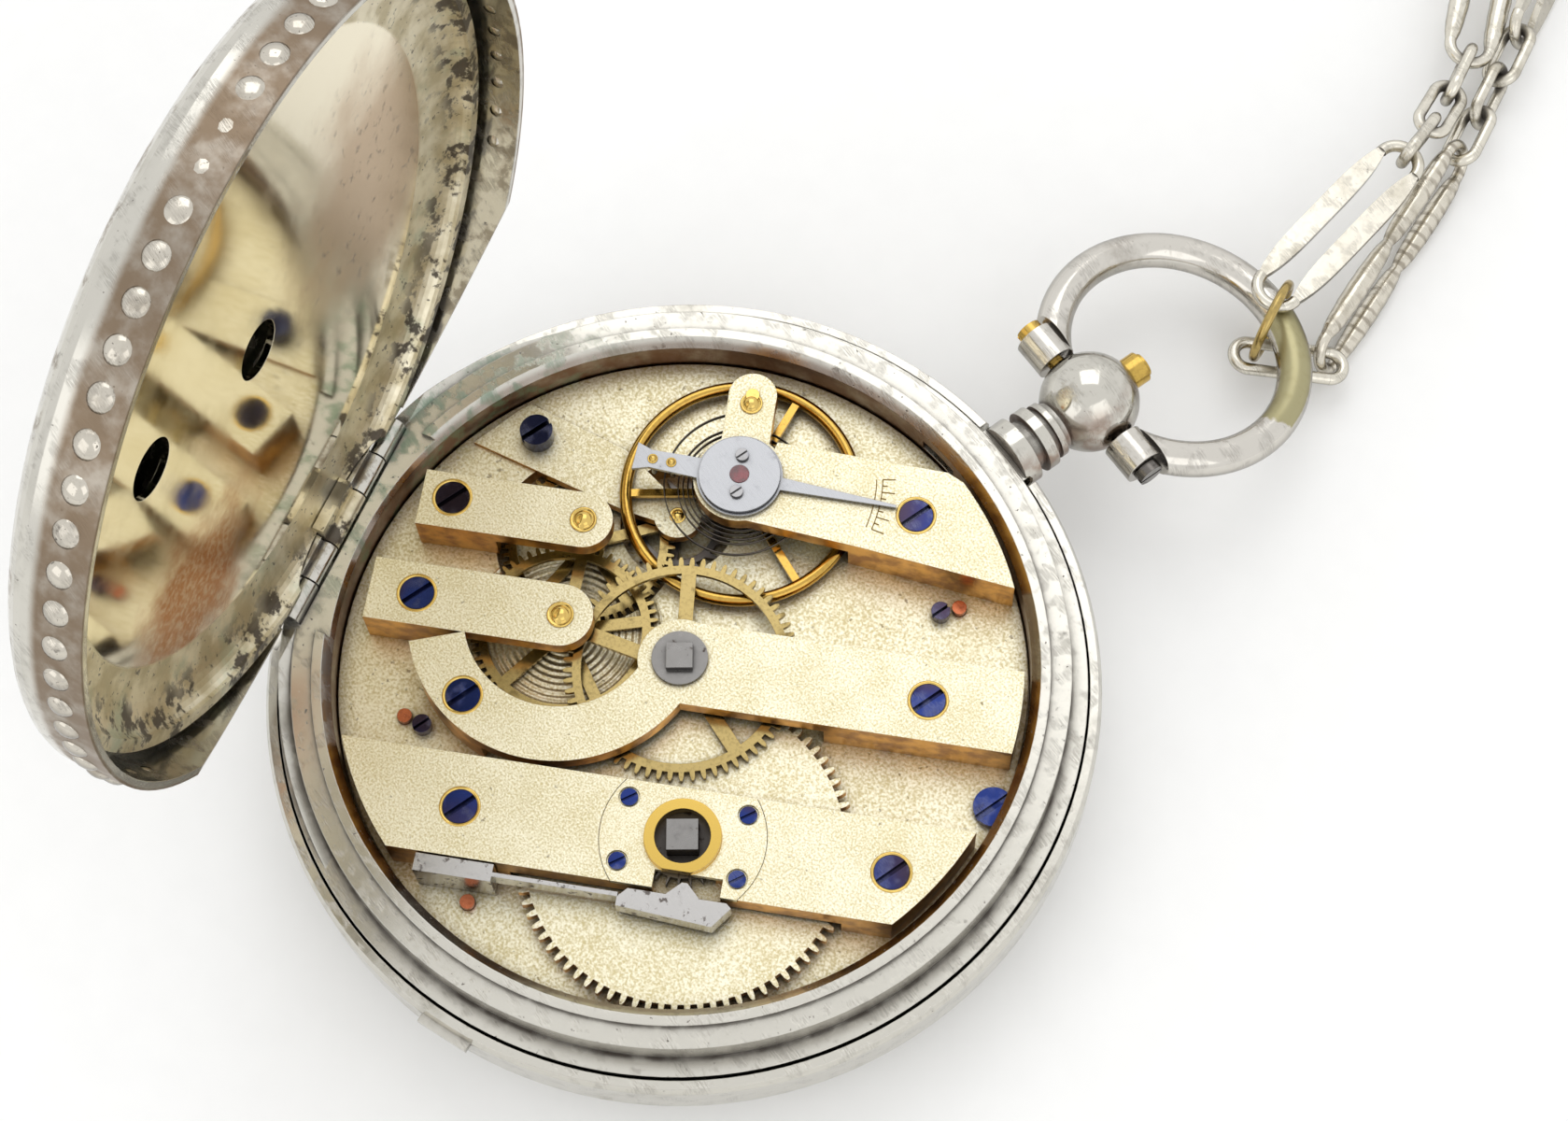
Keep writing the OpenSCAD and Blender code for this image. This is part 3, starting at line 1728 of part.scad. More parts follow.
module flat_link() {
    color(silver)
        laid(flat_at, flat_turn)
            leaf_link(flat_len);
}

module hammered_link() {
    color(silver)
        laid(hammered_at, hammered_turn)
            spindle_link(hammered_len);
}

// Three small links, a long link and an end ring, from the top of the link before
module strand(start, turns, roll) {
    half = (link_len - link_wire) / 2;
    long_half = (hammered_len - link_wire) / 2;
    ring_half = (end_ring_d - link_wire) / 2;
    step = half - hook / 2;
    p0 = start + (half - hook) * heading(turns[0]);
    p1 = p0 + step * (heading(turns[0]) + heading(turns[1]));
    p2 = p1 + step * (heading(turns[1]) + heading(turns[2]));
    p3 = p2 + step * heading(turns[2]) + (long_half - hook / 2) * heading(turns[3]);
    p4 = p3 + (long_half + ring_half - hook) * heading(turns[3]);
    laid(p0, [each turns[0], roll])
        oval_ring(link_len, link_w, link_wire);
    laid(p1, [each turns[1], roll - 90])
        oval_ring(link_len, link_w, link_wire);
    laid(p2, [each turns[2], roll])
        oval_ring(link_len, link_w, link_wire);
    laid(p3, [each turns[3], roll - 90])
        children();
    laid(p4, [each turns[3], roll])
        oval_ring(end_ring_d, end_ring_d - 0.2, link_wire);
}

module strand_a() {
    color(silver)
        strand(top_of(flat_at, flat_turn, flat_len), strand_a_turns, strand_a_roll)
            spindle_link(hammered_len);
}

module strand_b() {
    color(silver)
        strand(top_of(hammered_at, hammered_turn, hammered_len), strand_b_turns, strand_b_roll)
            leaf_link(hammered_len);
}

echo("least gap between hairspring turns", least_gap(hair_path, hair_t, 12));
echo("least gap between mainspring turns", least_gap(main_path, main_t, 12));

case_band();
pendant();
back_hinge_pin();
back_cover();
cuvette();
bow();
bow_screws();
push_button();
lid_spring();
lock_spring();
bezel();
crystal();
front_cover();
front_hinge_pin();
main_plate();
dial();
dial_feet();
barrel_bridge();
centre_bridge();
third_cock();
fourth_cock();
escape_cock();
balance_cock();
bridge_screws();
case_screw();
small_screws();
ratchet_cap();
click();
hairspring_stud();
end_piece();
end_stone();
hairspring();
barrel();
barrel_cover();
mainspring();
barrel_arbor();
ratchet_wheel();
setting_arbor();
centre_wheel();
centre_pinion();
third_wheel();
third_pinion();
fourth_wheel();
fourth_pinion();
escape_wheel();
balance_wheel();
balance_staff();
regulator();
cannon_pinion();
minute_wheel();
hour_wheel();
hour_hand();
minute_hand();
seconds_hand();
jump_ring();
oval_link();
flat_link();
hammered_link();
strand_a();
strand_b();
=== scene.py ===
import math

import bmesh
import bpy
from mathutils import Matrix, Vector


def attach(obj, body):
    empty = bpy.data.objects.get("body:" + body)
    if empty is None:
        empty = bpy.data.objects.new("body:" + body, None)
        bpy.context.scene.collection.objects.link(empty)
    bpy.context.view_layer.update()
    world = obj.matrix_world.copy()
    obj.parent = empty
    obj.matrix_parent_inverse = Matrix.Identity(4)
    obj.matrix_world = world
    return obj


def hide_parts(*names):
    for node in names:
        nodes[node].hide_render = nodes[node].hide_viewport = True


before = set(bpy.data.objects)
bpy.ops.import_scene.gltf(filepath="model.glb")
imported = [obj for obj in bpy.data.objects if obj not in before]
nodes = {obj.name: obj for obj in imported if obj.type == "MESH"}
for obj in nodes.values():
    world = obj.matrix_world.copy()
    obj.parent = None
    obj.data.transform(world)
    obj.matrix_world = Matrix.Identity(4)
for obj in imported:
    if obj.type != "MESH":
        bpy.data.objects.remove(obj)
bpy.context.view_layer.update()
print("frame loaded:", len(nodes), "nodes")

# the watch lies on its front cover, lengths below in mm
watch = {
    "turn": 54.0,  # movement in the case, degrees
    "hingeAz": 209.66,
    "hingeR": 21.5,
    "hingeZ": 10.4,
    "lidOpen": 89.6,
    "barTop": 10.75,
    "balance": (-7.033, 9.210),
    "barrel": (8.632, -5.911),
    "third": (-6.221, -3.918),
    "fourth": (-10.249, 0.448),
    "escape": (-8.238, 5.501),
}
mm = 0.001


def tone(r, g, b):
    # screen colour 0-255 to linear
    def lin(c):
        c = c / 255.0
        return c / 12.92 if c <= 0.04045 else ((c + 0.055) / 1.055) ** 2.4

    return (lin(r), lin(g), lin(b), 1.0)


def swing(angle):
    # matrix that opens a shut lid about the back hinge, in mm
    az = math.radians(watch["hingeAz"])
    arm = Matrix.Translation((watch["hingeR"], 0, watch["hingeZ"]))
    return (
        Matrix.Rotation(az, 4, "Z")
        @ arm
        @ Matrix.Rotation(math.radians(angle), 4, "Y")
        @ arm.inverted()
        @ Matrix.Rotation(-az, 4, "Z")
    )


# camera
view = {
    "eye": (52.91, -26.88, 172.41),
    "aim": (-2.405, 8.918, 7.6),
    "up": (-0.809, 0.588, 0.0),
    "lens": 70.07,
    "sensor": 36.0,
    "clip": (0.002, 20.0),
}


def placeCamera():
    camData = bpy.data.cameras.new("camera")
    camData.lens = view["lens"]
    camData.sensor_width = view["sensor"]
    camData.sensor_fit = "HORIZONTAL"
    camData.clip_start, camData.clip_end = view["clip"]
    cam = bpy.data.objects.new("camera", camData)
    eye = Vector(view["eye"]) * mm
    back = (eye - Vector(view["aim"]) * mm).normalized()
    right = Vector(view["up"]).cross(back).normalized()
    up = back.cross(right)
    turn = Matrix((right, up, back)).transposed().to_4x4()
    cam.matrix_world = Matrix.Translation(eye) @ turn
    bpy.context.scene.collection.objects.link(cam)
    bpy.context.scene.camera = cam


placeCamera()
print("camera placed")


# node helpers
def put(tree, kind, values=None, **props):
    node = tree.nodes.new(kind)
    for key, value in props.items():
        setattr(node, key, value)
    for key, value in (values or {}).items():
        socket = node.inputs[key]
        if isinstance(value, bpy.types.NodeSocket):
            tree.links.new(value, socket)
        else:
            socket.default_value = value
    return node


def calc(tree, op, a, b=None, clamp=False):
    values = {0: a}
    if b is not None:
        values[1] = b
    return put(tree, "ShaderNodeMath", values, operation=op, use_clamp=clamp).outputs[0]


def blendColor(tree, factor, a, b, how="MIX"):
    values = {0: factor, 6: a, 7: b}
    return put(tree, "ShaderNodeMix", values, data_type="RGBA", blend_type=how).outputs[2]


def blendValue(tree, factor, a, b):
    return put(tree, "ShaderNodeMix", {0: factor, 2: a, 3: b}, data_type="FLOAT").outputs[0]


def ramp(tree, value, low, high):
    values = {0: value, 1: low, 2: high}
    return put(tree, "ShaderNodeMapRange", values, interpolation_type="SMOOTHSTEP").outputs[0]


def grain(tree, place, scale, detail=3.0, rough=0.55):
    values = {"Vector": place, "Scale": scale, "Detail": detail, "Roughness": rough}
    return put(tree, "ShaderNodeTexNoise", values).outputs[0]


def vectorCalc(tree, op, a, b=None, scale=None):
    values = {0: a}
    if b is not None:
        values[1] = b
    node = put(tree, "ShaderNodeVectorMath", values, operation=op)
    if scale is not None:
        node.inputs["Scale"].default_value = scale
    return node


def newGroup(name, takes, gives):
    tree = bpy.data.node_groups.new(name, "ShaderNodeTree")
    for label, kind, value in takes:
        socket = tree.interface.new_socket(label, in_out="INPUT", socket_type=kind)
        if value is not None:
            socket.default_value = value
    for label, kind in gives:
        tree.interface.new_socket(label, in_out="OUTPUT", socket_type=kind)
    return tree, put(tree, "NodeGroupInput").outputs, put(tree, "NodeGroupOutput").inputs


vec, num = "NodeSocketVector", "NodeSocketFloat"


def buildSpotGroup():
    # patches of stain, Cover 0 to 1
    takes = [("Place", vec, None), ("Scale", num, 1.0), ("Cover", num, 0.3), ("Edge", num, 0.1)]
    tree, take, give = newGroup("stainPatches", takes, [("Mask", num)])
    field = grain(tree, take["Place"], take["Scale"], 6.0, 0.62)
    low = calc(tree, "SUBTRACT", 0.74, calc(tree, "MULTIPLY", take["Cover"], 0.46))
    high = calc(tree, "ADD", low, take["Edge"])
    tree.links.new(ramp(tree, field, low, high), give["Mask"])
    return tree


def buildFrostGroup():
    # sandy sparkle of frosted gilding
    takes = [("Place", vec, None), ("Grain", num, 14.0), ("Depth", num, 1.0)]
    tree, take, give = newGroup("frostedGrain", takes, [("Height", num), ("Shade", num)])
    fine = grain(tree, take["Place"], take["Grain"], 2.0, 0.6)
    broad = grain(tree, take["Place"], 0.35, 3.0, 0.6)
    tree.links.new(calc(tree, "MULTIPLY", fine, take["Depth"]), give["Height"])
    shade = calc(tree, "ADD", calc(tree, "MULTIPLY", fine, 0.8), calc(tree, "MULTIPLY", broad, 0.2))
    tree.links.new(ramp(tree, shade, 0.34, 0.64), give["Shade"])
    return tree


def buildScuffGroup():
    # fine crossing scratches
    takes = [("Place", vec, None), ("Scale", num, 2.0), ("Thin", num, 0.06)]
    tree, take, give = newGroup("fineScuffs", takes, [("Mask", num)])
    found = None
    for angle in (0.35, 1.25, 2.4):
        turned = put(tree, "ShaderNodeMapping", {"Vector": take["Place"], "Rotation": (angle, angle * 0.6, angle),
            "Scale": (1.0, 16.0, 1.0)}).outputs[0]
        field = grain(tree, turned, calc(tree, "MULTIPLY", take["Scale"], 0.22), 3.0, 0.5)
        line = calc(tree, "ABSOLUTE", calc(tree, "SUBTRACT", field, 0.5))
        hit = calc(tree, "SUBTRACT", 1.0, ramp(tree, line, 0.0, take["Thin"]))
        found = hit if found is None else calc(tree, "MAXIMUM", found, hit)
    broken = ramp(tree, grain(tree, take["Place"], 0.8, 2.0), 0.48, 0.62)
    tree.links.new(calc(tree, "MULTIPLY", found, broken), give["Mask"])
    return tree


def buildRoundGroup():
    # distance from an axis and height along it
    takes = [("Place", vec, None), ("Centre", vec, None), ("Axis", vec, (0, 0, 1))]
    tree, take, give = newGroup("roundAxis", takes, [("Radius", num), ("Height", num)])
    away = vectorCalc(tree, "SUBTRACT", take["Place"], take["Centre"]).outputs[0]
    height = vectorCalc(tree, "DOT_PRODUCT", away, take["Axis"]).outputs["Value"]
    lift = put(tree, "ShaderNodeVectorMath", {0: take["Axis"], "Scale": height}, operation="SCALE").outputs[0]
    flat = vectorCalc(tree, "SUBTRACT", away, lift).outputs[0]
    tree.links.new(vectorCalc(tree, "LENGTH", flat).outputs["Value"], give["Radius"])
    tree.links.new(height, give["Height"])
    return tree


groups = {
    "stain": buildSpotGroup(),
    "frost": buildFrostGroup(),
    "scuff": buildScuffGroup(),
    "round": buildRoundGroup(),
}


def use(tree, which, **values):
    node = put(tree, "ShaderNodeGroup", node_tree=groups[which])
    for key, value in values.items():
        socket = node.inputs[key.capitalize()]
        if isinstance(value, bpy.types.NodeSocket):
            tree.links.new(value, socket)
        else:
            socket.default_value = value
    return node.outputs


class Finish:
    # one material under construction
    def __init__(self, name, edge=0.06, sockets=None):
        self.material = bpy.data.materials.new(name)
        self.material.use_nodes = True
        self.tree = self.material.node_tree
        self.tree.nodes.clear()
        self.out = put(self.tree, "ShaderNodeOutputMaterial")
        self.shader = put(self.tree, "ShaderNodeBsdfPrincipled", sockets)
        self.tree.links.new(self.shader.outputs[0], self.out.inputs[0])
        self.coords = put(self.tree, "ShaderNodeTexCoord").outputs
        self.place = vectorCalc(self.tree, "SCALE", self.coords["Object"], scale=1000.0).outputs[0]
        self.edge = edge

    def corners(self, reach, alone=True, low=0.35, high=0.85):
        # painted shade from occlusion, 1 deep in a step or joint, 0 in the open
        values = {"Distance": reach * mm}
        shade = put(self.tree, "ShaderNodeAmbientOcclusion", values, samples=6, only_local=alone)
        return calc(self.tree, "SUBTRACT", 1.0, ramp(self.tree, shade.outputs["AO"], low, high))

    def contactShade(self, color, reach, shadeTint, amount):
        # painted contact shade where pieces meet
        depth = self.corners(reach, False, 0.2, 0.95)
        return blendColor(self.tree, calc(self.tree, "MULTIPLY", depth, amount), color, shadeTint)

    def slopes(self, low=0.35, high=0.75):
        # 1 on upright sides, 0 on flats
        parts = put(self.tree, "ShaderNodeSeparateXYZ", {0: self.coords["Normal"]}).outputs
        return calc(self.tree, "SUBTRACT", 1.0, ramp(self.tree, calc(self.tree, "ABSOLUTE", parts[2]), low, high))

    def close(self, color=None, rough=None, metal=None, height=None, strength=0.2, distance=0.00002):
        for name, value in (("Base Color", color), ("Roughness", rough), ("Metallic", metal)):
            if value is not None:
                self.tree.links.new(value, self.shader.inputs[name])
        normal = None
        if self.edge:
            normal = put(self.tree, "ShaderNodeBevel", {"Radius": self.edge * mm}, samples=4).outputs[0]
        if height is not None:
            bump = put(self.tree, "ShaderNodeBump", {"Strength": strength, "Distance": distance, "Height": height})
            if normal is not None:
                self.tree.links.new(normal, bump.inputs["Normal"])
            normal = bump.outputs[0]
        if normal is not None:
            self.tree.links.new(normal, self.shader.inputs["Normal"])
        return self.material


# silver of the case and chain
silverLook = {
    "clean": tone(206, 203, 194),
    "cloud": tone(150, 146, 133),
    "stain": tone(50, 39, 30),
    "green": tone(122, 158, 134),
    "brown": tone(98, 60, 32),
    "rim": tone(74, 66, 56),  # painted dark edge where round wire is seen edge on
    "grimeAndShade": 0.9,  # soil and painted shade in corners
    "cornerReach": 0.9,
}


def makeSilver(name, spots=0.25, clouds=0.5, greens=0.0, scale=1.0, rough=(0.16, 0.42), masks=None, edge=0.08,
        clean=None, cloudy=None, edgeShade=0.0):
    f = Finish(name, edge)
    t, p = f.tree, f.place
    clean, cloudy = clean or silverLook["clean"], cloudy or silverLook["cloud"]
    cloud = use(t, "stain", place=p, scale=0.28 * scale, cover=clouds, edge=0.3)["Mask"]
    fog = use(t, "stain", place=p, scale=1.6 * scale, cover=clouds * 0.8, edge=0.25)["Mask"]
    dark = use(t, "stain", place=p, scale=0.9 * scale, cover=spots, edge=0.14)["Mask"]
    pits = use(t, "stain", place=p, scale=3.4 * scale, cover=spots * 0.8, edge=0.05)["Mask"]
    scuff = use(t, "scuff", place=p, scale=2.2, thin=0.05)["Mask"]
    haze = calc(t, "MAXIMUM", cloud, calc(t, "MULTIPLY", fog, 0.3))
    color = blendColor(t, calc(t, "MULTIPLY", haze, 0.65), clean, cloudy)
    foul = calc(t, "MAXIMUM", calc(t, "MULTIPLY", dark, 0.65), calc(t, "MULTIPLY", pits, 0.75))
    # soil and painted occlusion shade, patchy, in the corners of the piece
    corner = f.corners(silverLook["cornerReach"], True, 0.4, 0.95)
    soilAndShade = calc(t, "MULTIPLY", corner, ramp(t, grain(t, p, 0.8, 4.0), 0.1, 0.5))
    foul = calc(t, "MAXIMUM", foul, calc(t, "MULTIPLY", soilAndShade, silverLook["grimeAndShade"]))
    color = blendColor(t, foul, color, silverLook["stain"])
    color = blendColor(t, calc(t, "MULTIPLY", scuff, 0.25), color, silverLook["stain"])
    roughness = blendValue(t, haze, rough[0], rough[1])
    roughness = blendValue(t, foul, roughness, 0.62)
    if greens:
        moss = use(t, "stain", place=p, scale=0.42 * scale, cover=greens, edge=0.18)["Mask"]
        color = blendColor(t, calc(t, "MULTIPLY", moss, 0.6), color, silverLook["green"])
        roughness = blendValue(t, moss, roughness, 0.65)
        foul = calc(t, "MAXIMUM", foul, moss)
    for mask in masks or []:
        amount, tint, matt = mask(f)
        color = blendColor(t, amount, color, tint)
        roughness = blendValue(t, amount, roughness, matt)
    # painted shade along edges that turn away from the view
    if edgeShade:
        facing = put(t, "ShaderNodeLayerWeight", {"Blend": 0.5}).outputs["Facing"]
        turned = calc(t, "MULTIPLY", ramp(t, facing, 0.3, 0.95), edgeShade)
        color = blendColor(t, turned, color, silverLook["rim"])
    metal = calc(t, "SUBTRACT", 1.0, calc(t, "MULTIPLY", foul, 0.6))
    uneven = calc(t, "ADD", calc(t, "MULTIPLY", grain(t, p, 0.9, 3.0), 0.6), calc(t, "MULTIPLY", scuff, -0.4))
    uneven = calc(t, "SUBTRACT", uneven, calc(t, "MULTIPLY", foul, 0.5))
    return f.close(color, roughness, metal, uneven, 0.25, 0.00004)


# where tarnish, wear and darker lines lie on the case, covers and bow
marks = {
    "boreWall": (20.0, 20.3),
    "mossAt": (-17.5, -3.5, 10.0),
    "mossReach": (4.0, 15.0),
    "ledgeHeight": (7.85, 8.5),
    "ledgeRadius": 22.1,
    "ledgeWide": (0.02, 0.3),
    "lidEdge": (22.6, 22.75),
    "lidEdgeHeight": (10.3, 10.9),
    "lining": (22.3, 22.5),
    "bowAt": (5.0, 41.6, 4.2),
    "bowReach": (4.0, 4.3),
}


def boreStain(f):
    # brown tarnish on the wall round the movement
    t = f.tree
    reach = use(t, "round", place=f.place, centre=(0, 0, 0))
    inside = calc(t, "SUBTRACT", 1.0, ramp(t, reach["Radius"], *marks["boreWall"]))
    wall = calc(t, "MULTIPLY", inside, f.slopes(0.4, 0.9))
    worn = ramp(t, grain(t, f.place, 0.5, 4.0), 0.25, 0.6)
    return calc(t, "MULTIPLY", wall, blendValue(t, worn, 0.72, 0.98)), silverLook["brown"], 0.34


def hingeMoss(f):
    # verdigris on the side by the hinge
    t = f.tree
    reach = use(t, "round", place=f.place, centre=marks["mossAt"])
    near = calc(t, "SUBTRACT", 1.0, ramp(t, reach["Radius"], *marks["mossReach"]))
    patch = use(t, "stain", place=f.place, scale=0.8, cover=0.62, edge=0.2)["Mask"]
    return calc(t, "MULTIPLY", calc(t, "MULTIPLY", near, patch), 0.55), silverLook["green"], 0.6


def ledgeDarkLine(f):
    # dark lines in the steps of the band
    t = f.tree
    parts = put(t, "ShaderNodeSeparateXYZ", {0: f.place}).outputs
    low = calc(t, "SUBTRACT", 1.0, ramp(t, parts[2], *marks["ledgeHeight"]))
    reach = use(t, "round", place=f.place, centre=(0, 0, 0))
    off = calc(t, "ABSOLUTE", calc(t, "SUBTRACT", reach["Radius"], marks["ledgeRadius"]))
    step = calc(t, "SUBTRACT", 1.0, ramp(t, off, *marks["ledgeWide"]))
    patchy = ramp(t, grain(t, f.place, 0.7, 4.0), 0.3, 0.65)
    soiled = calc(t, "MULTIPLY", calc(t, "MULTIPLY", low, step), patchy)
    return calc(t, "MULTIPLY", soiled, 0.8), silverLook["stain"], 0.5


swung = swing(watch["lidOpen"])
lidAxis = (tuple(swung @ Vector((0, 0, 0))), tuple((swung.to_3x3() @ Vector((0, 0, 1))).normalized()))


def lidRim(f):
    # tarnish between the flutes of the back cover
    t = f.tree
    centre, axis = lidAxis
    reach = use(t, "round", place=f.place, centre=centre, axis=axis)
    outer = ramp(t, reach["Radius"], *marks["lidEdge"])
    low = calc(t, "SUBTRACT", 1.0, ramp(t, reach["Height"], *marks["lidEdgeHeight"]))
    patchy = ramp(t, grain(t, f.place, 0.6, 4.0), 0.25, 0.6)
    band = calc(t, "MULTIPLY", calc(t, "MULTIPLY", outer, low), blendValue(t, patchy, 0.55, 0.95))
    return band, tone(128, 110, 90), 0.42


def lidInside(f):
    # stained lining of the back cover
    t = f.tree
    centre, axis = lidAxis
    reach = use(t, "round", place=f.place, centre=centre, axis=axis)
    inner = calc(t, "SUBTRACT", 1.0, ramp(t, reach["Radius"], *marks["lining"]))
    spots = use(t, "stain", place=f.place, scale=0.55, cover=0.5, edge=0.12)["Mask"]
    return calc(t, "MULTIPLY", calc(t, "MULTIPLY", inner, spots), 0.6), tone(110, 92, 66), 0.5


def bowWear(f):
    # yellow worn flat on the far side of the bow
    t = f.tree
    reach = use(t, "round", place=f.place, centre=marks["bowAt"])
    wobble = calc(t, "MULTIPLY", calc(t, "SUBTRACT", grain(t, f.place, 0.8, 3.0), 0.5), 2.2)
    near = calc(t, "ADD", reach["Radius"], wobble)
    parts = put(t, "ShaderNodeSeparateXYZ", {0: f.coords["Normal"]}).outputs
    upward = ramp(t, calc(t, "ADD", parts[2], calc(t, "MULTIPLY", wobble, 0.1)), 0.45, 0.55)
    patch = calc(t, "MULTIPLY", calc(t, "SUBTRACT", 1.0, ramp(t, near, *marks["bowReach"])), upward)
    return calc(t, "MULTIPLY", patch, 0.8), tone(158, 150, 98), 0.42


def ballDarkReflection(f):
    # painted brown reflection on the lower side of the ball
    t = f.tree
    parts = put(t, "ShaderNodeSeparateXYZ", {0: f.coords["Normal"]}).outputs
    lean = calc(t, "ADD", parts[2], calc(t, "MULTIPLY", parts[0], -0.5))
    down = calc(t, "SUBTRACT", 1.0, ramp(t, lean, 0.1, 0.75))
    patchy = ramp(t, grain(t, f.place, 0.6, 4.0), 0.35, 0.65)
    return calc(t, "MULTIPLY", calc(t, "MULTIPLY", down, patchy), 0.7), tone(128, 92, 70), 0.3


ribs = {"along": (-0.3482, 0.9374, 0.0), "pitch": 0.78}


def hammerRibs(f):
    # dark lines between the hammered ribs
    t = f.tree
    run = vectorCalc(t, "DOT_PRODUCT", f.place, ribs["along"]).outputs["Value"]
    wobble = calc(t, "MULTIPLY", grain(t, f.place, 0.9, 2.0), 5.0)
    wave = calc(t, "SINE", calc(t, "ADD", calc(t, "MULTIPLY", run, math.tau / ribs["pitch"]), wobble))
    worn = ramp(t, grain(t, f.place, 0.45, 2.0), 0.36, 0.6)
    lines = calc(t, "MULTIPLY", ramp(t, wave, 0.1, 0.9), worn)
    return calc(t, "MULTIPLY", lines, 0.5), tone(92, 76, 54), 0.5


silver = {
    "case": makeSilver("caseSilver", 0.24, 0.4, 0.12, 1.0, (0.2, 0.45), [ledgeDarkLine, boreStain, hingeMoss]),
    "front": makeSilver("frontSilver", 0.16, 0.5, 0.05, 0.9, (0.16, 0.4)),
    "back": makeSilver("backSilver", 0.22, 0.45, 0.1, 1.0, (0.16, 0.4), [lidRim, lidInside]),
    "bow": makeSilver("bowSilver", 0.16, 0.5, 0.0, 1.0, (0.12, 0.3), [bowWear], 0.08, tone(212, 208, 200),
        tone(146, 138, 128), 0.7),
    "pendant": makeSilver("pendantSilver", 0.22, 0.45, 0.0, 1.2, (0.09, 0.3), [ballDarkReflection], edgeShade=0.5),
    "chain": makeSilver("chainSilver", 0.18, 0.6, 0.0, 1.4, (0.2, 0.4), None, 0.05, tone(222, 217, 204),
        tone(160, 152, 132), 0.75),
    "ribbed": makeSilver("ribbedSilver", 0.14, 0.6, 0.0, 1.4, (0.18, 0.36), [hammerRibs], 0.05, tone(218, 212, 198),
        tone(160, 152, 132), 0.7),
    "flutes": makeSilver("flutedSilver", 0.3, 0.55, 0.0, 1.5, (0.12, 0.3), None, 0, tone(206, 200, 188),
        tone(132, 120, 102), 0.8),
}


# inner cover: polished plate in a stained cove
coverLook = {
    "bright": tone(240, 231, 206),
    "smear": tone(222, 210, 180),
    "cove": tone(236, 228, 204),
    "coveDull": tone(198, 186, 154),
    "bloom": tone(182, 150, 116),  # beige patch near the top
    "rust": tone(188, 120, 48),  # orange patch by the hinge
    "flatEdge": 17.6,
    "flatZ": 10.9,
    "rimReach": (20.4, 21.8),
    "bloomAt": (12.5, 129.0),  # radius and azimuth on the shut cover
    "bloomSize": (4.0, 11.5),
    "rustAt": (14.0, 258.0),
    "rustSize": (2.5, 7.5),
}


def coverPatch(f, at, size):
    # ragged patch round a point of the inner cover, 1 in its middle
    t = f.tree
    a = math.radians(at[1])
    middle = swung @ Vector((at[0] * math.cos(a), at[0] * math.sin(a), coverLook["flatZ"]))
    away = vectorCalc(t, "LENGTH", vectorCalc(t, "SUBTRACT", f.place, tuple(middle)).outputs[0]).outputs["Value"]
    ragged = calc(t, "MULTIPLY", calc(t, "SUBTRACT", grain(t, f.place, 0.35, 4.0), 0.5), 7.0)
    return calc(t, "SUBTRACT", 1.0, ramp(t, calc(t, "ADD", away, ragged), size[0], size[1]))


def makeMirror():
    f = Finish("mirrorSilver", 0.05)
    t, p = f.tree, f.place
    centre, axis = lidAxis
    reach = use(t, "round", place=p, centre=centre, axis=axis)
    cove = ramp(t, reach["Radius"], coverLook["flatEdge"] - 0.15, coverLook["flatEdge"] + 0.15)
    smear = use(t, "stain", place=p, scale=0.16, cover=0.55, edge=0.3)["Mask"]
    spots = use(t, "stain", place=p, scale=0.62, cover=0.52, edge=0.07)["Mask"]
    specks = use(t, "stain", place=p, scale=2.2, cover=0.3, edge=0.05)["Mask"]
    frayed = calc(t, "ADD", reach["Radius"], calc(t, "MULTIPLY", grain(t, p, 0.3, 2.0), 3.0))
    rim = ramp(t, frayed, *coverLook["rimReach"])
    bloom = coverPatch(f, coverLook["bloomAt"], coverLook["bloomSize"])
    flecks = calc(t, "MULTIPLY", bloom, use(t, "stain", place=p, scale=1.3, cover=0.4, edge=0.16)["Mask"])
    low = coverPatch(f, coverLook["rustAt"], coverLook["rustSize"])
    sandy = ramp(t, grain(t, p, 2.6, 3.0), 0.3, 0.62)
    foul = calc(t, "MAXIMUM", calc(t, "MULTIPLY", spots, rim), calc(t, "MULTIPLY", specks, 0.8))
    foul = calc(t, "MULTIPLY", calc(t, "MULTIPLY", foul, cove), 0.92)
    foul = calc(t, "MAXIMUM", foul, calc(t, "MULTIPLY", flecks, 0.6))
    moss = use(t, "stain", place=p, scale=0.3, cover=0.5, edge=0.2)["Mask"]
    moss = calc(t, "MULTIPLY", calc(t, "MULTIPLY", moss, cove), 0.4)
    color = blendColor(t, calc(t, "MULTIPLY", smear, 0.5), coverLook["bright"], coverLook["smear"])
    color = blendColor(t, calc(t, "MULTIPLY", bloom, 0.75), color, coverLook["bloom"])
    color = blendColor(t, calc(t, "MULTIPLY", low, blendValue(t, sandy, 0.55, 0.95)), color, coverLook["rust"])
    dull = ramp(t, grain(t, p, 0.5, 4.0), 0.35, 0.65)
    color = blendColor(t, cove, color, blendColor(t, dull, coverLook["cove"], coverLook["coveDull"]))
    color = blendColor(t, moss, color, silverLook["green"])
    color = blendColor(t, foul, color, silverLook["stain"])
    hazy = calc(t, "MAXIMUM", calc(t, "MULTIPLY", smear, 0.5), calc(t, "MAXIMUM", bloom, low))
    rough = blendValue(t, hazy, 0.07, 0.26)
    rough = blendValue(t, cove, rough, 0.4)
    metal = calc(t, "SUBTRACT", 1.0, calc(t, "MULTIPLY", calc(t, "MAXIMUM", foul, moss), 0.6))
    height = calc(t, "SUBTRACT", calc(t, "MULTIPLY", grain(t, p, 0.25, 2.0), 0.6), foul)
    return f.close(color, rough, metal, height, 0.12, 0.00005)


mirror = makeMirror()


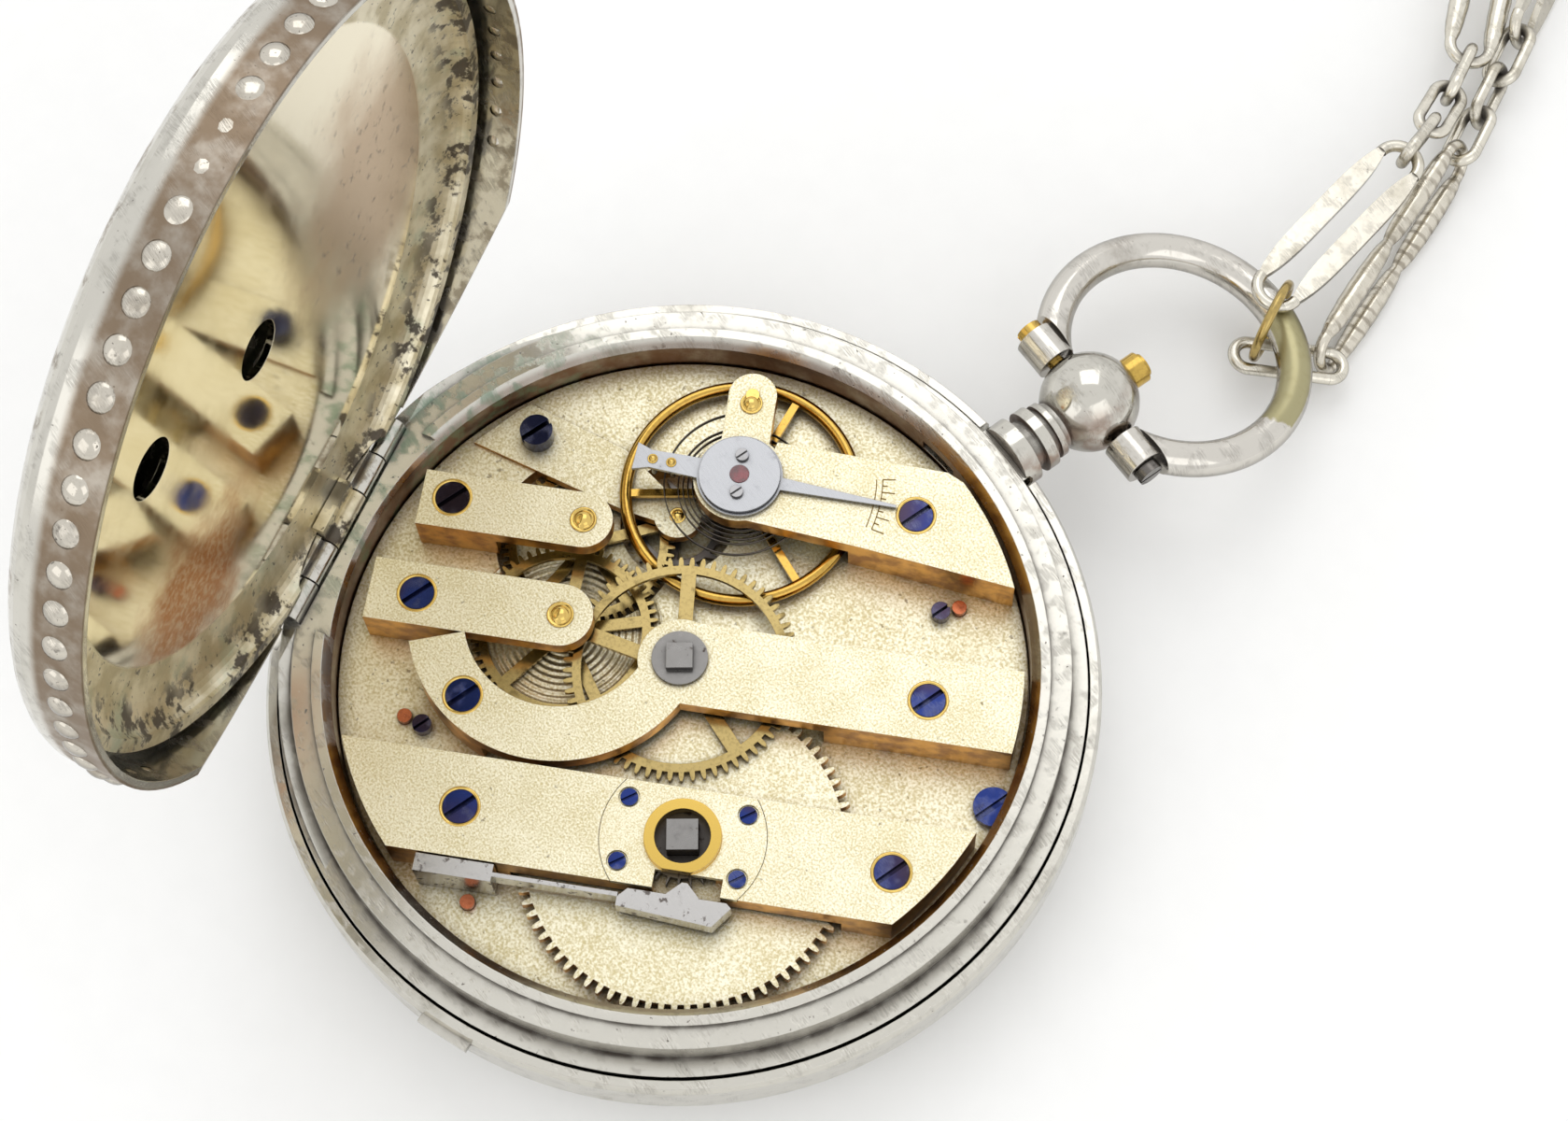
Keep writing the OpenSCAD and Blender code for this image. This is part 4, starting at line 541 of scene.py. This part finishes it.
# gilding
giltLook = {
    "top": tone(250, 245, 222),
    "deep": tone(214, 201, 156),
    "side": tone(226, 168, 80),
    "sideDark": tone(158, 104, 44),
    "blotch": tone(220, 208, 164),
    "speck": tone(96, 76, 42),
    # tint of the painted shade where gilt parts meet
    "jointShade": tone(84, 60, 26),
    "ringLines": 16.0,  # turned rings in the plate's sink
    "ringReach": (5.6, 5.7),
    "ringDepth": 1.3,
    "capRing": (2.15, 2.2),
    "capPolish": tone(214, 180, 92),
}


def makeGilt(name, grainSize=6.0, rings=None, tarnish=0.16):
    f = Finish(name, 0.07)
    t, p = f.tree, f.place
    frost = use(t, "frost", place=p, grain=grainSize, depth=1.0)
    color = blendColor(t, frost["Shade"], giltLook["deep"], giltLook["top"])
    blotch = use(t, "stain", place=p, scale=0.22, cover=0.5, edge=0.35)["Mask"]
    color = blendColor(t, calc(t, "MULTIPLY", blotch, 0.4), color, giltLook["blotch"])
    specks = use(t, "stain", place=p, scale=2.2, cover=tarnish, edge=0.05)["Mask"]
    color = blendColor(t, calc(t, "MULTIPLY", specks, 0.6), color, giltLook["speck"])
    sides = f.slopes()
    streak = ramp(t, grain(t, p, 0.8, 4.0), 0.3, 0.65)
    color = blendColor(t, sides, color, blendColor(t, streak, giltLook["sideDark"], giltLook["side"]))
    rough = blendValue(t, sides, blendValue(t, frost["Shade"], 0.5, 0.4), 0.3)
    height = calc(t, "MULTIPLY", frost["Height"], calc(t, "SUBTRACT", 1.0, sides))
    if rings:
        reach = use(t, "round", place=p, centre=(rings[0], rings[1], 0))
        wave = calc(t, "SINE", calc(t, "MULTIPLY", reach["Radius"], giltLook["ringLines"]))
        near = calc(t, "SUBTRACT", 1.0, ramp(t, reach["Radius"], *giltLook["ringReach"]))
        turned = calc(t, "MULTIPLY", calc(t, "MULTIPLY", wave, near), giltLook["ringDepth"])
        height = calc(t, "ADD", height, turned)
    # painted contact shade, stronger on the flats than on the sides
    color = f.contactShade(color, 1.3, giltLook["jointShade"], blendValue(t, sides, 0.8, 0.3))
    f.shader.inputs["Metallic"].default_value = 1.0
    return f.close(color, rough, None, height, 0.7, 0.00003)


def makeBrass(name, light, dark, tarnish=0.3, rough=(0.22, 0.4), edge=0.03):
    f = Finish(name, edge)
    t, p = f.tree, f.place
    patch = use(t, "stain", place=p, scale=0.7, cover=tarnish, edge=0.25)["Mask"]
    fine = grain(t, p, 5.0, 3.0)
    color = blendColor(t, patch, light, dark)
    color = blendColor(t, calc(t, "MULTIPLY", ramp(t, fine, 0.45, 0.7), 0.25), color, dark)
    # painted contact shade where brass parts meet
    color = f.contactShade(color, 0.9, tone(52, 38, 18), 0.75)
    f.shader.inputs["Metallic"].default_value = 1.0
    return f.close(color, blendValue(t, patch, rough[0], rough[1]), None, fine, 0.15, 0.00001)


def makeSteel(name, light, dark, lines=None, rough=(0.18, 0.34), spots=0.12, edge=0.04):
    f = Finish(name, edge)
    t, p = f.tree, f.place
    place = p
    if lines:
        place = put(t, "ShaderNodeMapping", {"Vector": p, "Rotation": (0, 0, math.radians(lines)),
            "Scale": (0.4, 9.0, 1.0)}).outputs[0]
    brush = grain(t, place, 2.4, 3.0)
    patch = use(t, "stain", place=p, scale=0.9, cover=0.45, edge=0.3)["Mask"]
    rust = use(t, "stain", place=p, scale=1.8, cover=spots, edge=0.06)["Mask"]
    color = blendColor(t, calc(t, "MULTIPLY", patch, 0.7), light, dark)
    color = blendColor(t, calc(t, "MULTIPLY", rust, 0.7), color, tone(62, 46, 36))
    # painted contact shade where steel parts meet
    color = f.contactShade(color, 1.1, tone(26, 21, 18), 0.85)
    roughness = blendValue(t, rust, blendValue(t, brush, rough[0], rough[1]), 0.55)
    f.shader.inputs["Metallic"].default_value = 1.0
    return f.close(color, roughness, None, brush, 0.12, 0.00001)


def makeCap():
    # winding cap: frosted flat with a polished ring round the square
    f = Finish("capGilt", 0.05)
    t, p = f.tree, f.place
    frost = use(t, "frost", place=p, grain=11.0, depth=1.0)
    reach = use(t, "round", place=p, centre=(*watch["barrel"], 0))
    ring = calc(t, "SUBTRACT", 1.0, ramp(t, reach["Radius"], *giltLook["capRing"]))
    color = blendColor(t, frost["Shade"], giltLook["deep"], giltLook["top"])
    color = blendColor(t, ring, color, giltLook["capPolish"])
    rough = blendValue(t, ring, 0.42, 0.16)
    f.shader.inputs["Metallic"].default_value = 1.0
    height = calc(t, "MULTIPLY", frost["Height"], calc(t, "SUBTRACT", 1.0, ring))
    return f.close(color, rough, None, height, 0.5, 0.00002)


gilt = {
    "plate": makeGilt("plateGilt", 6.0, watch["third"], 0.24),
    "bar": makeGilt("barGilt", 8.0),
    "cap": makeCap(),
}
brass = {
    "wheel": makeBrass("wheelBrass", tone(172, 152, 100), tone(92, 76, 46), 0.48),
    "rim": makeBrass("balanceBrass", tone(202, 164, 82), tone(134, 98, 42), 0.35, (0.14, 0.28)),
    "drum": makeGilt("drumGilt", 7.0),
    "ring": makeBrass("ringGilt", tone(184, 160, 100), tone(132, 118, 84), 0.5, (0.22, 0.38)),
    "button": makeBrass("buttonGilt", tone(206, 172, 88), tone(120, 92, 52), 0.42, (0.2, 0.4)),
    "bush": makeBrass("bushBrass", tone(222, 190, 110), tone(176, 136, 64), 0.25, (0.12, 0.25)),
    "copper": makeBrass("pinCopper", tone(190, 112, 78), tone(116, 58, 38), 0.45, (0.25, 0.45)),
}
steel = {
    "polished": makeSteel("polishedSteel", tone(188, 186, 184), tone(112, 108, 104), 40, (0.14, 0.3), 0.34),
    "index": makeSteel("indexSteel", tone(166, 167, 170), tone(126, 127, 131), 41.5),
    "dark": makeSteel("darkSteel", tone(120, 116, 112), tone(70, 64, 60), None, (0.25, 0.45), 0.3),
    "hands": makeSteel("bluedHands", tone(44, 60, 124), tone(30, 32, 74), 20, (0.18, 0.32), 0.2),
    "square": makeSteel("squareSteel", tone(134, 132, 130), tone(66, 62, 60), None, (0.2, 0.4), 0.25),
    "spring": makeSteel("springSteel", tone(92, 88, 84), tone(58, 54, 52), None, (0.22, 0.38), 0.05, 0),
}


screwLook = {
    "blue": tone(44, 58, 118),
    "deep": tone(30, 31, 62),
    "purple": tone(66, 56, 74),
    "black": tone(34, 32, 36),
    "bright": tone(150, 149, 150),
    "nearBalance": 2.6,  # the end piece's screws are left bright
    "blackUpTo": (-15.5, -13.5),
}


def makeScrews():
    # each screw blued in its own shade, the oldest gone black
    f = Finish("bluedScrews", 0.03)
    t, p = f.tree, f.place
    patch = use(t, "stain", place=p, scale=0.9, cover=0.5, edge=0.25)["Mask"]
    color = blendColor(t, patch, screwLook["blue"], screwLook["deep"])
    own = grain(t, p, 0.11, 1.0)
    color = blendColor(t, ramp(t, own, 0.5, 0.6), color, screwLook["purple"])
    across = put(t, "ShaderNodeSeparateXYZ", {0: p}).outputs[0]
    left = calc(t, "SUBTRACT", 1.0, ramp(t, across, *screwLook["blackUpTo"]))
    color = blendColor(t, calc(t, "MULTIPLY", left, 0.7), color, screwLook["black"])
    reach = use(t, "round", place=p, centre=(*watch["balance"], 0))["Radius"]
    near = calc(t, "SUBTRACT", 1.0, ramp(t, reach, screwLook["nearBalance"], screwLook["nearBalance"] + 0.2))
    color = blendColor(t, near, color, screwLook["bright"])
    # painted contact shade round the screw heads
    color = f.contactShade(color, 0.6, tone(16, 14, 16), 0.9)
    scratch = use(t, "scuff", place=p, scale=6.0, thin=0.08)["Mask"]
    color = blendColor(t, calc(t, "MULTIPLY", scratch, 0.35), color, tone(120, 124, 150))
    f.shader.inputs["Metallic"].default_value = 1.0
    return f.close(color, blendValue(t, patch, 0.16, 0.34), None, scratch, 0.15, 0.00001)


def makeBowScrews():
    # one screw still gilt, the other bare
    f = Finish("bowScrewMetal", 0.03)
    t, p = f.tree, f.place
    parts = put(t, "ShaderNodeSeparateXYZ", {0: p}).outputs
    bare = ramp(t, parts[0], -0.5, 0.5)
    patch = use(t, "stain", place=p, scale=1.6, cover=0.5, edge=0.2)["Mask"]
    warm = blendColor(t, patch, tone(206, 172, 92), tone(124, 96, 48))
    cold = blendColor(t, patch, tone(112, 108, 104), tone(52, 48, 46))
    f.shader.inputs["Metallic"].default_value = 1.0
    return f.close(blendColor(t, bare, warm, cold), blendValue(t, patch, 0.22, 0.45), None, patch, 0.2, 0.00002)


def makeRuby():
    f = Finish("rubyStone", 0.02, sockets={"Transmission Weight": 0.55, "IOR": 1.76, "Metallic": 0.0})
    t = f.tree
    cloud = grain(t, f.place, 2.0, 3.0)
    color = blendColor(t, ramp(t, cloud, 0.3, 0.7), tone(110, 16, 30), tone(178, 44, 60))
    return f.close(color, blendValue(t, cloud, 0.05, 0.14))


def makeEnamel():
    f = Finish("whiteEnamel", 0.05, sockets={"Metallic": 0.0, "Coat Weight": 0.4, "Coat Roughness": 0.05})
    t, p = f.tree, f.place
    cloud = use(t, "stain", place=p, scale=0.12, cover=0.5, edge=0.4)["Mask"]
    hair = use(t, "scuff", place=p, scale=0.5, thin=0.012)["Mask"]
    color = blendColor(t, cloud, tone(240, 238, 230), tone(230, 226, 212))
    color = blendColor(t, calc(t, "MULTIPLY", hair, 0.25), color, tone(150, 142, 128))
    return f.close(color, blendValue(t, cloud, 0.12, 0.2), None, grain(t, p, 0.4, 2.0), 0.04, 0.00004)


def makeGlass():
    f = Finish("crystalGlass", 0, sockets={"Transmission Weight": 1.0, "IOR": 1.5, "Metallic": 0.0})
    t, p = f.tree, f.place
    hair = use(t, "scuff", place=p, scale=0.8, thin=0.02)["Mask"]
    color = blendColor(t, hair, (1.0, 1.0, 1.0, 1.0), (0.9, 0.92, 0.92, 1.0))
    return f.close(color, blendValue(t, hair, 0.01, 0.12))


def makePaint():
    f = Finish("blackNumerals", 0, sockets={"Metallic": 0.0})
    t, p = f.tree, f.place
    wear = use(t, "stain", place=p, scale=1.5, cover=0.3, edge=0.2)["Mask"]
    return f.close(blendColor(t, wear, tone(24, 23, 24), tone(58, 55, 52)), blendValue(t, wear, 0.25, 0.45))


def makeGroove():
    f = Finish("engravedLine", 0, sockets={"Metallic": 1.0})
    t, p = f.tree, f.place
    fill = grain(t, p, 3.0, 3.0)
    return f.close(blendColor(t, fill, tone(96, 74, 38), tone(150, 124, 70)), blendValue(t, fill, 0.35, 0.6))


screws, bowScrewMetal, ruby = makeScrews(), makeBowScrews(), makeRuby()
enamel, glass, paint, groove = makeEnamel(), makeGlass(), makePaint(), makeGroove()

finishes = {
    silver["case"]: ["case_band"],
    silver["front"]: ["front_cover", "bezel"],
    silver["back"]: ["back_cover"],
    silver["bow"]: ["bow"],
    silver["pendant"]: ["pendant"],
    silver["chain"]: ["oval_link", "flat_link", "strand_a", "strand_b"],
    silver["ribbed"]: ["hammered_link"],
    mirror: ["cuvette"],
    gilt["plate"]: ["main_plate"],
    gilt["bar"]: ["barrel_bridge", "centre_bridge", "third_cock", "fourth_cock", "escape_cock", "balance_cock"],
    gilt["cap"]: ["ratchet_cap"],
    brass["drum"]: ["barrel", "barrel_cover"],
    brass["wheel"]: ["centre_wheel", "third_wheel", "fourth_wheel", "minute_wheel", "hour_wheel"],
    brass["rim"]: ["balance_wheel"],
    brass["ring"]: ["jump_ring"],
    brass["button"]: ["push_button"],
    brass["copper"]: ["dial_feet"],
    steel["polished"]: ["click"],
    brass["bush"]: ["hairspring_stud"],
    steel["square"]: ["setting_arbor", "barrel_arbor"],
    steel["index"]: ["regulator", "end_piece"],
    steel["dark"]: ["back_hinge_pin", "front_hinge_pin", "lid_spring", "lock_spring", "centre_pinion",
        "third_pinion", "fourth_pinion", "escape_wheel", "balance_staff", "cannon_pinion", "ratchet_wheel"],
    steel["hands"]: ["hour_hand", "minute_hand", "seconds_hand"],
    screws: ["bridge_screws", "case_screw", "small_screws"],
    bowScrewMetal: ["bow_screws"],
    ruby: ["end_stone"],
    enamel: ["dial"],
    glass: ["crystal"],
}
for material, names in finishes.items():
    for name in names:
        slots = nodes[name].data.materials
        slots.clear()
        slots.append(material)
print("finishes set:", len(finishes), "materials")


# pieces made here
def addPiece(name, mesh, material, body, smooth=True):
    piece = bpy.data.objects.new(name, mesh)
    bpy.context.scene.collection.objects.link(piece)
    mesh.materials.clear()
    mesh.materials.append(material)
    if smooth:
        for face in mesh.polygons:
            face.use_smooth = True
    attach(piece, body)
    return piece


def meshFrom(name, build):
    form = bmesh.new()
    build(form)
    bmesh.ops.recalc_face_normals(form, faces=form.faces[:])
    bmesh.ops.scale(form, vec=(mm, mm, mm), verts=form.verts[:])
    mesh = bpy.data.meshes.new(name)
    form.to_mesh(mesh)
    form.free()
    return mesh


def polar(radius, degrees):
    return Vector((radius * math.cos(math.radians(degrees)), radius * math.sin(math.radians(degrees)), 0))


def joinRings(form, a, b):
    for k in range(len(a)):
        n = (k + 1) % len(a)
        form.faces.new((a[k], a[n], b[n], b[k]))


def turnRings(form, profile, x, y, base, steps):
    # one ring of points per radius and rise, round an upright axis
    rings = []
    for radius, rise in profile:
        ring = []
        for k in range(steps):
            a = k * math.tau / steps
            ring.append(form.verts.new((x + radius * math.cos(a), y + radius * math.sin(a), base + rise)))
        rings.append(ring)
    return rings


def woundStrip(form, path, thick, low, high):
    rings = []
    for point in path:
        out = point["out"]
        inner, outer = point["at"] - out * thick / 2, point["at"] + out * thick / 2
        corners = [(inner, low), (outer, low), (outer, high), (inner, high)]
        rings.append([form.verts.new((c.x, c.y, z)) for c, z in corners])
    for a, b in zip(rings, rings[1:]):
        joinRings(form, a, b)
    form.faces.new(rings[0])
    form.faces.new(rings[-1])


hairspring = {"inner": 1.2, "pitch": 0.28, "turns": 10, "lead": 386, "end": 4.72, "stud": 82, "thick": 0.07,
    "low": 9.14, "high": 9.4, "step": 4}
mainspring = {"inner": 1.95, "pitch": 0.8, "turns": 7, "thick": 0.2, "low": 6.55, "high": 8.35, "step": 5}


def coilHairspring(form):
    s = hairspring
    total = s["turns"] * 360
    lead = total - s["lead"]
    path = []
    for i in range(int(total / s["step"]) + 1):
        a = min(i * s["step"], total)
        r = s["inner"] + s["pitch"] * min(a, lead) / 360
        if a > lead:
            r += (s["end"] - r) * (a - lead) / (total - lead)
        out = polar(1, s["stud"] + total - a + watch["turn"])
        path.append({"at": Vector((*watch["balance"], 0)) + out * r, "out": out})
    woundStrip(form, path, s["thick"], s["low"], s["high"])


def coilMainspring(form):
    s = mainspring
    path = []
    for i in range(int(s["turns"] * 360 / s["step"]) + 1):
        a = i * s["step"]
        out = polar(1, a + watch["turn"])
        r = s["inner"] + s["pitch"] * a / 360
        path.append({"at": Vector((*watch["barrel"], 0)) + out * r, "out": out})
    woundStrip(form, path, s["thick"], s["low"], s["high"])


hairMesh = meshFrom("hairspringCoil", coilHairspring)
hairPiece = addPiece("hairspringCoil", hairMesh, steel["spring"], "case")
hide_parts("hairspring")
mainMesh = meshFrom("mainspringCoil", coilMainspring)
mainPiece = addPiece("mainspringCoil", mainMesh, steel["spring"], "barrel_drum")
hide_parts("mainspring")
print("springs wound")

# fluted edge of the back cover, built shut and then opened
flutes = {"count": 64, "radius": 22.7, "middle": 9.35, "half": (0.8, 0.42, 0.74), "clear": 64,
    "lip": 11, "worn": 0.27, "segments": (16, 10)}


def cutFlutes(form):
    r, around, along = flutes["radius"], *flutes["segments"]
    w, d, h = flutes["half"]
    for i in range(flutes["count"]):
        az = 360.0 * (i + 0.5) / flutes["count"]
        if az < flutes["clear"] or az > 360 - flutes["clear"]:
            continue  # plain beside the hinge
        a = math.radians(az + watch["hingeAz"])
        stand = Matrix.Translation((r * math.cos(a), r * math.sin(a), flutes["middle"]))
        # worn shallower at the thumb lip
        deep = d - flutes["worn"] * max(0.0, 1 - ((az - 180) / flutes["lip"]) ** 2)
        shape = stand @ Matrix.Rotation(a, 4, "Z") @ Matrix.Diagonal((deep, w, h, 1))
        bmesh.ops.create_uvsphere(form, u_segments=around, v_segments=along, radius=1.0, matrix=swung @ shape)


addPiece("backCoverFlutes", meshFrom("backCoverFlutes", cutFlutes), silver["flutes"], "back_lid")
print("flutes cut")

# turned bushings round the pivots, the stud's head and the regulator's two pins
def fromBalance(radius, degrees):
    return tuple((Vector((*watch["balance"], 0)) + polar(radius, degrees)).xy)


bushings = [
    {"name": "thirdBushing", "at": watch["third"], "top": watch["barTop"], "radius": 0.78, "rise": 1.0,
        "on": "case"},
    {"name": "fourthBushing", "at": watch["fourth"], "top": watch["barTop"], "radius": 0.78, "rise": 1.0,
        "on": "case"},
    {"name": "escapeBushing", "at": watch["escape"], "top": 8.05, "radius": 0.5, "rise": 0.3, "on": "case"},
    {"name": "studHead", "at": fromBalance(4.72, 136.0), "top": watch["barTop"], "radius": 0.66, "rise": 1.0,
        "on": "case"},
    {"name": "curbPinNear", "at": fromBalance(4.05, 221.5), "top": 11.02, "radius": 0.3, "rise": 0.6,
        "on": "regulator_lever"},
    {"name": "curbPinFar", "at": fromBalance(5.15, 221.5), "top": 11.02, "radius": 0.3, "rise": 0.6,
        "on": "regulator_lever"},
]


# share of the radius and rise in mm: rim, groove and dome
bushProfile = [(1.0, -0.02), (1.0, 0.06), (0.9, 0.1), (0.78, 0.03), (0.7, 0.03), (0.6, 0.16), (0.42, 0.27),
    (0.2, 0.32)]
bushSteps = 40


def turnBushing(settings):
    def build(form):
        profile = [(settings["radius"] * share, rise * settings["rise"]) for share, rise in bushProfile]
        rings = turnRings(form, profile, *settings["at"], settings["top"], bushSteps)
        for a, b in zip(rings, rings[1:]):
            joinRings(form, a, b)
        form.faces.new(rings[0])
        form.faces.new(rings[-1])

    return build


for settings in bushings:
    mesh = meshFrom(settings["name"], turnBushing(settings))
    addPiece(settings["name"], mesh, brass["bush"], settings["on"])

# polished seats round the screw heads
seats = {
    "head": 0.97,
    "wide": 0.2,
    "rise": 0.03,
    "sunk": -0.02,
    "gap": 0.02,
    "steps": 48,
    "at": [(-0.179, -14.826), (-5.521, -11.069), (-12.196, -9.742), (-15.9, -4.838), (17.025, 2.167),
        (10.273, 9.767), (0.916, 15.96)],
}


def turnSeats(form):
    s = seats
    inner, outer = s["head"] + s["gap"], s["head"] + s["wide"]
    profile = [(outer, s["sunk"]), (outer, s["rise"] * 0.5), (s["head"] + s["wide"] * 0.6, s["rise"]),
        (inner, s["rise"] * 0.2), (inner, s["sunk"])]
    for x, y in s["at"]:
        rings = turnRings(form, profile, x, y, watch["barTop"], s["steps"])
        for a, b in zip(rings, rings[1:] + rings[:1]):
            joinRings(form, a, b)


addPiece("screwSeats", meshFrom("screwSeats", turnSeats), brass["bush"], "case")

# regulator scale on the balance cock
scale = {"az": 41.5, "inner": 7.9, "outer": 9.0, "spread": 11, "ticks": 9, "wide": 0.07, "deep": 0.012,
    "sunk": 0.02, "gap": 0.35, "short": 0.45, "arcs": 16, "thin": 0.8}


def addBar(form, start, end, wide, low, high):
    along = (end - start).normalized()
    across = Vector((-along.y, along.x, 0)) * wide / 2
    lower = [form.verts.new((*(q.xy), low)) for q in (start - across, end - across, end + across, start + across)]
    upper = [form.verts.new((v.co.x, v.co.y, high)) for v in lower]
    form.faces.new(lower)
    form.faces.new(upper)
    for k in range(4):
        form.faces.new((lower[k], lower[(k + 1) % 4], upper[(k + 1) % 4], upper[k]))


def engraveScale(form):
    s = scale
    centre = Vector((*watch["balance"], 0))
    low, high = watch["barTop"] - s["sunk"], watch["barTop"] + s["deep"]
    for i in range(s["ticks"]):
        az = s["az"] + s["spread"] * (2.0 * i / (s["ticks"] - 1) - 1)
        far = s["outer"] if i % 2 == 0 else s["outer"] - s["short"]
        addBar(form, centre + polar(s["inner"] + s["gap"], az), centre + polar(far, az), s["wide"], low, high)
    for radius in (s["inner"], s["inner"] + s["gap"]):
        for i in range(s["arcs"]):
            a = s["az"] - s["spread"] + 2 * s["spread"] * i / s["arcs"]
            b = s["az"] - s["spread"] + 2 * s["spread"] * (i + 1) / s["arcs"]
            addBar(form, centre + polar(radius, a), centre + polar(radius, b), s["wide"] * s["thin"], low, high)


addPiece("regulatorScale", meshFrom("regulatorScale", engraveScale), groove, "case", False)

# dial marks
dial = {"face": 3.85, "deep": 0.03, "numerals": 15.6, "size": 4.2, "track": (18.4, 19.2), "seconds": (2.5, 3.2),
    "lift": 0.02, "bold": 0.28, "fine": 0.12, "ring": 0.1, "short": 0.3, "secondWide": 0.09, "squeeze": 0.72}
hours = ["XII", "I", "II", "III", "IIII", "V", None, "VII", "VIII", "IX", "X", "XI"]


def drawTracks(form):
    low, high = dial["face"] - dial["deep"], dial["face"] + dial["lift"]
    inner, outer = dial["track"]
    for i in range(60):
        az = 6 * i
        addBar(form, polar(inner, az), polar(outer, az), dial["bold"] if i % 5 == 0 else dial["fine"], low, high)
    centre = Vector((*watch["fourth"], 0))
    circles = ((inner, Vector(), 120), (outer, Vector(), 120), (dial["seconds"][1], centre, 48))
    for radius, middle, count in circles:
        for i in range(count):
            a, b = 360 * i / count, 360 * (i + 1.05) / count
            addBar(form, middle + polar(radius, a), middle + polar(radius, b), dial["ring"], low, high)
    for i in range(60):
        far = dial["seconds"][1]
        start = dial["seconds"][0] if i % 5 == 0 else far - dial["short"]
        addBar(form, centre + polar(start, 6 * i), centre + polar(far, 6 * i), dial["secondWide"], low, high)


addPiece("dialTracks", meshFrom("dialTracks", drawTracks), paint, "case", False)
for hour, word in enumerate(hours):
    if word is None:
        continue
    font = bpy.data.curves.new("numeral", "FONT")
    font.body = word
    font.size = dial["size"] * mm
    font.align_x, font.align_y = "CENTER", "CENTER"
    font.extrude = dial["deep"] * mm
    font.resolution_u = 3
    maker = bpy.data.objects.new("numeral", font)
    bpy.context.scene.collection.objects.link(maker)
    bpy.context.view_layer.update()
    mesh = bpy.data.meshes.new_from_object(maker.evaluated_get(bpy.context.evaluated_depsgraph_get()))
    bpy.data.objects.remove(maker)
    a = math.radians(30 * hour)
    out, along = Vector((math.cos(a), math.sin(a), 0)), Vector((-math.sin(a), math.cos(a), 0))
    stand = Matrix((along, out, Vector((0, 0, -1)))).transposed().to_4x4()
    squeeze = Matrix.Diagonal((dial["squeeze"], 1.0, 1.0, 1.0))
    middle = (out * dial["numerals"] + Vector((0, 0, dial["face"]))) * mm
    mesh.transform(Matrix.Translation(middle) @ stand @ squeeze)
    addPiece("numeral%02d" % (hour or 12), mesh, paint, "case", False)
print("dial drawn")

# studio
studio = {
    "floor": 3.0,
    "lamps": [
        {"name": "keyLamp", "at": (-0.28, 0.22, 0.5), "size": 0.4, "power": 0.5},
        {"name": "fillLamp", "at": (0.4, -0.05, 0.35), "size": 0.35, "power": 0.22},
        {"name": "rimLamp", "at": (0.0, -0.4, 0.25), "size": 0.3, "power": 0.15},
    ],
    "world": 0.95,
}


def lightPathWhite(tree):
    # 1 for what the camera, gloss or glass looks at
    rays = put(tree, "ShaderNodeLightPath").outputs
    seen = calc(tree, "ADD", rays["Is Camera Ray"], rays["Is Glossy Ray"], True)
    return calc(tree, "ADD", seen, rays["Is Transmission Ray"], True)


def buildStudio():
    form = bmesh.new()
    bmesh.ops.create_grid(form, x_segments=1, y_segments=1, size=studio["floor"])
    mesh = bpy.data.meshes.new("floor")
    form.to_mesh(mesh)
    form.free()
    floor = bpy.data.objects.new("floor", mesh)
    floor.location = (0, 0, -0.00001)
    bpy.context.scene.collection.objects.link(floor)
    paper = bpy.data.materials.new("paleFloor")
    paper.use_nodes = True
    tree = paper.node_tree
    tree.nodes.clear()
    out = put(tree, "ShaderNodeOutputMaterial")
    coords = put(tree, "ShaderNodeTexCoord").outputs["Object"]
    shade = blendColor(tree, grain(tree, coords, 400.0, 2.0), tone(247, 247, 246), tone(251, 251, 250))
    sheet = put(tree, "ShaderNodeBsdfDiffuse", {"Color": shade})
    tree.links.new(sheet.outputs[0], out.inputs[0])
    mesh.materials.append(paper)
    for lamp in studio["lamps"]:
        light = bpy.data.lights.new(lamp["name"], "AREA")
        light.energy = lamp["power"]
        light.size = lamp["size"]
        holder = bpy.data.objects.new(lamp["name"], light)
        holder.location = lamp["at"]
        holder.rotation_euler = (-Vector(lamp["at"])).to_track_quat("-Z", "Y").to_euler()
        bpy.context.scene.collection.objects.link(holder)
    world = bpy.data.worlds.new("studio")
    bpy.context.scene.world = world
    world.use_nodes = True
    tree = world.node_tree
    tree.nodes.clear()
    out = put(tree, "ShaderNodeOutputWorld")
    soft = put(tree, "ShaderNodeBackground", {"Color": (1, 1, 1, 1), "Strength": studio["world"]})
    white = put(tree, "ShaderNodeBackground", {"Color": (1, 1, 1, 1), "Strength": 1.0})
    mixed = put(tree, "ShaderNodeMixShader", {0: lightPathWhite(tree), 1: soft.outputs[0], 2: white.outputs[0]})
    tree.links.new(mixed.outputs[0], out.inputs[0])
    bpy.context.scene.view_settings.view_transform = "Standard"


buildStudio()
print("studio lit")
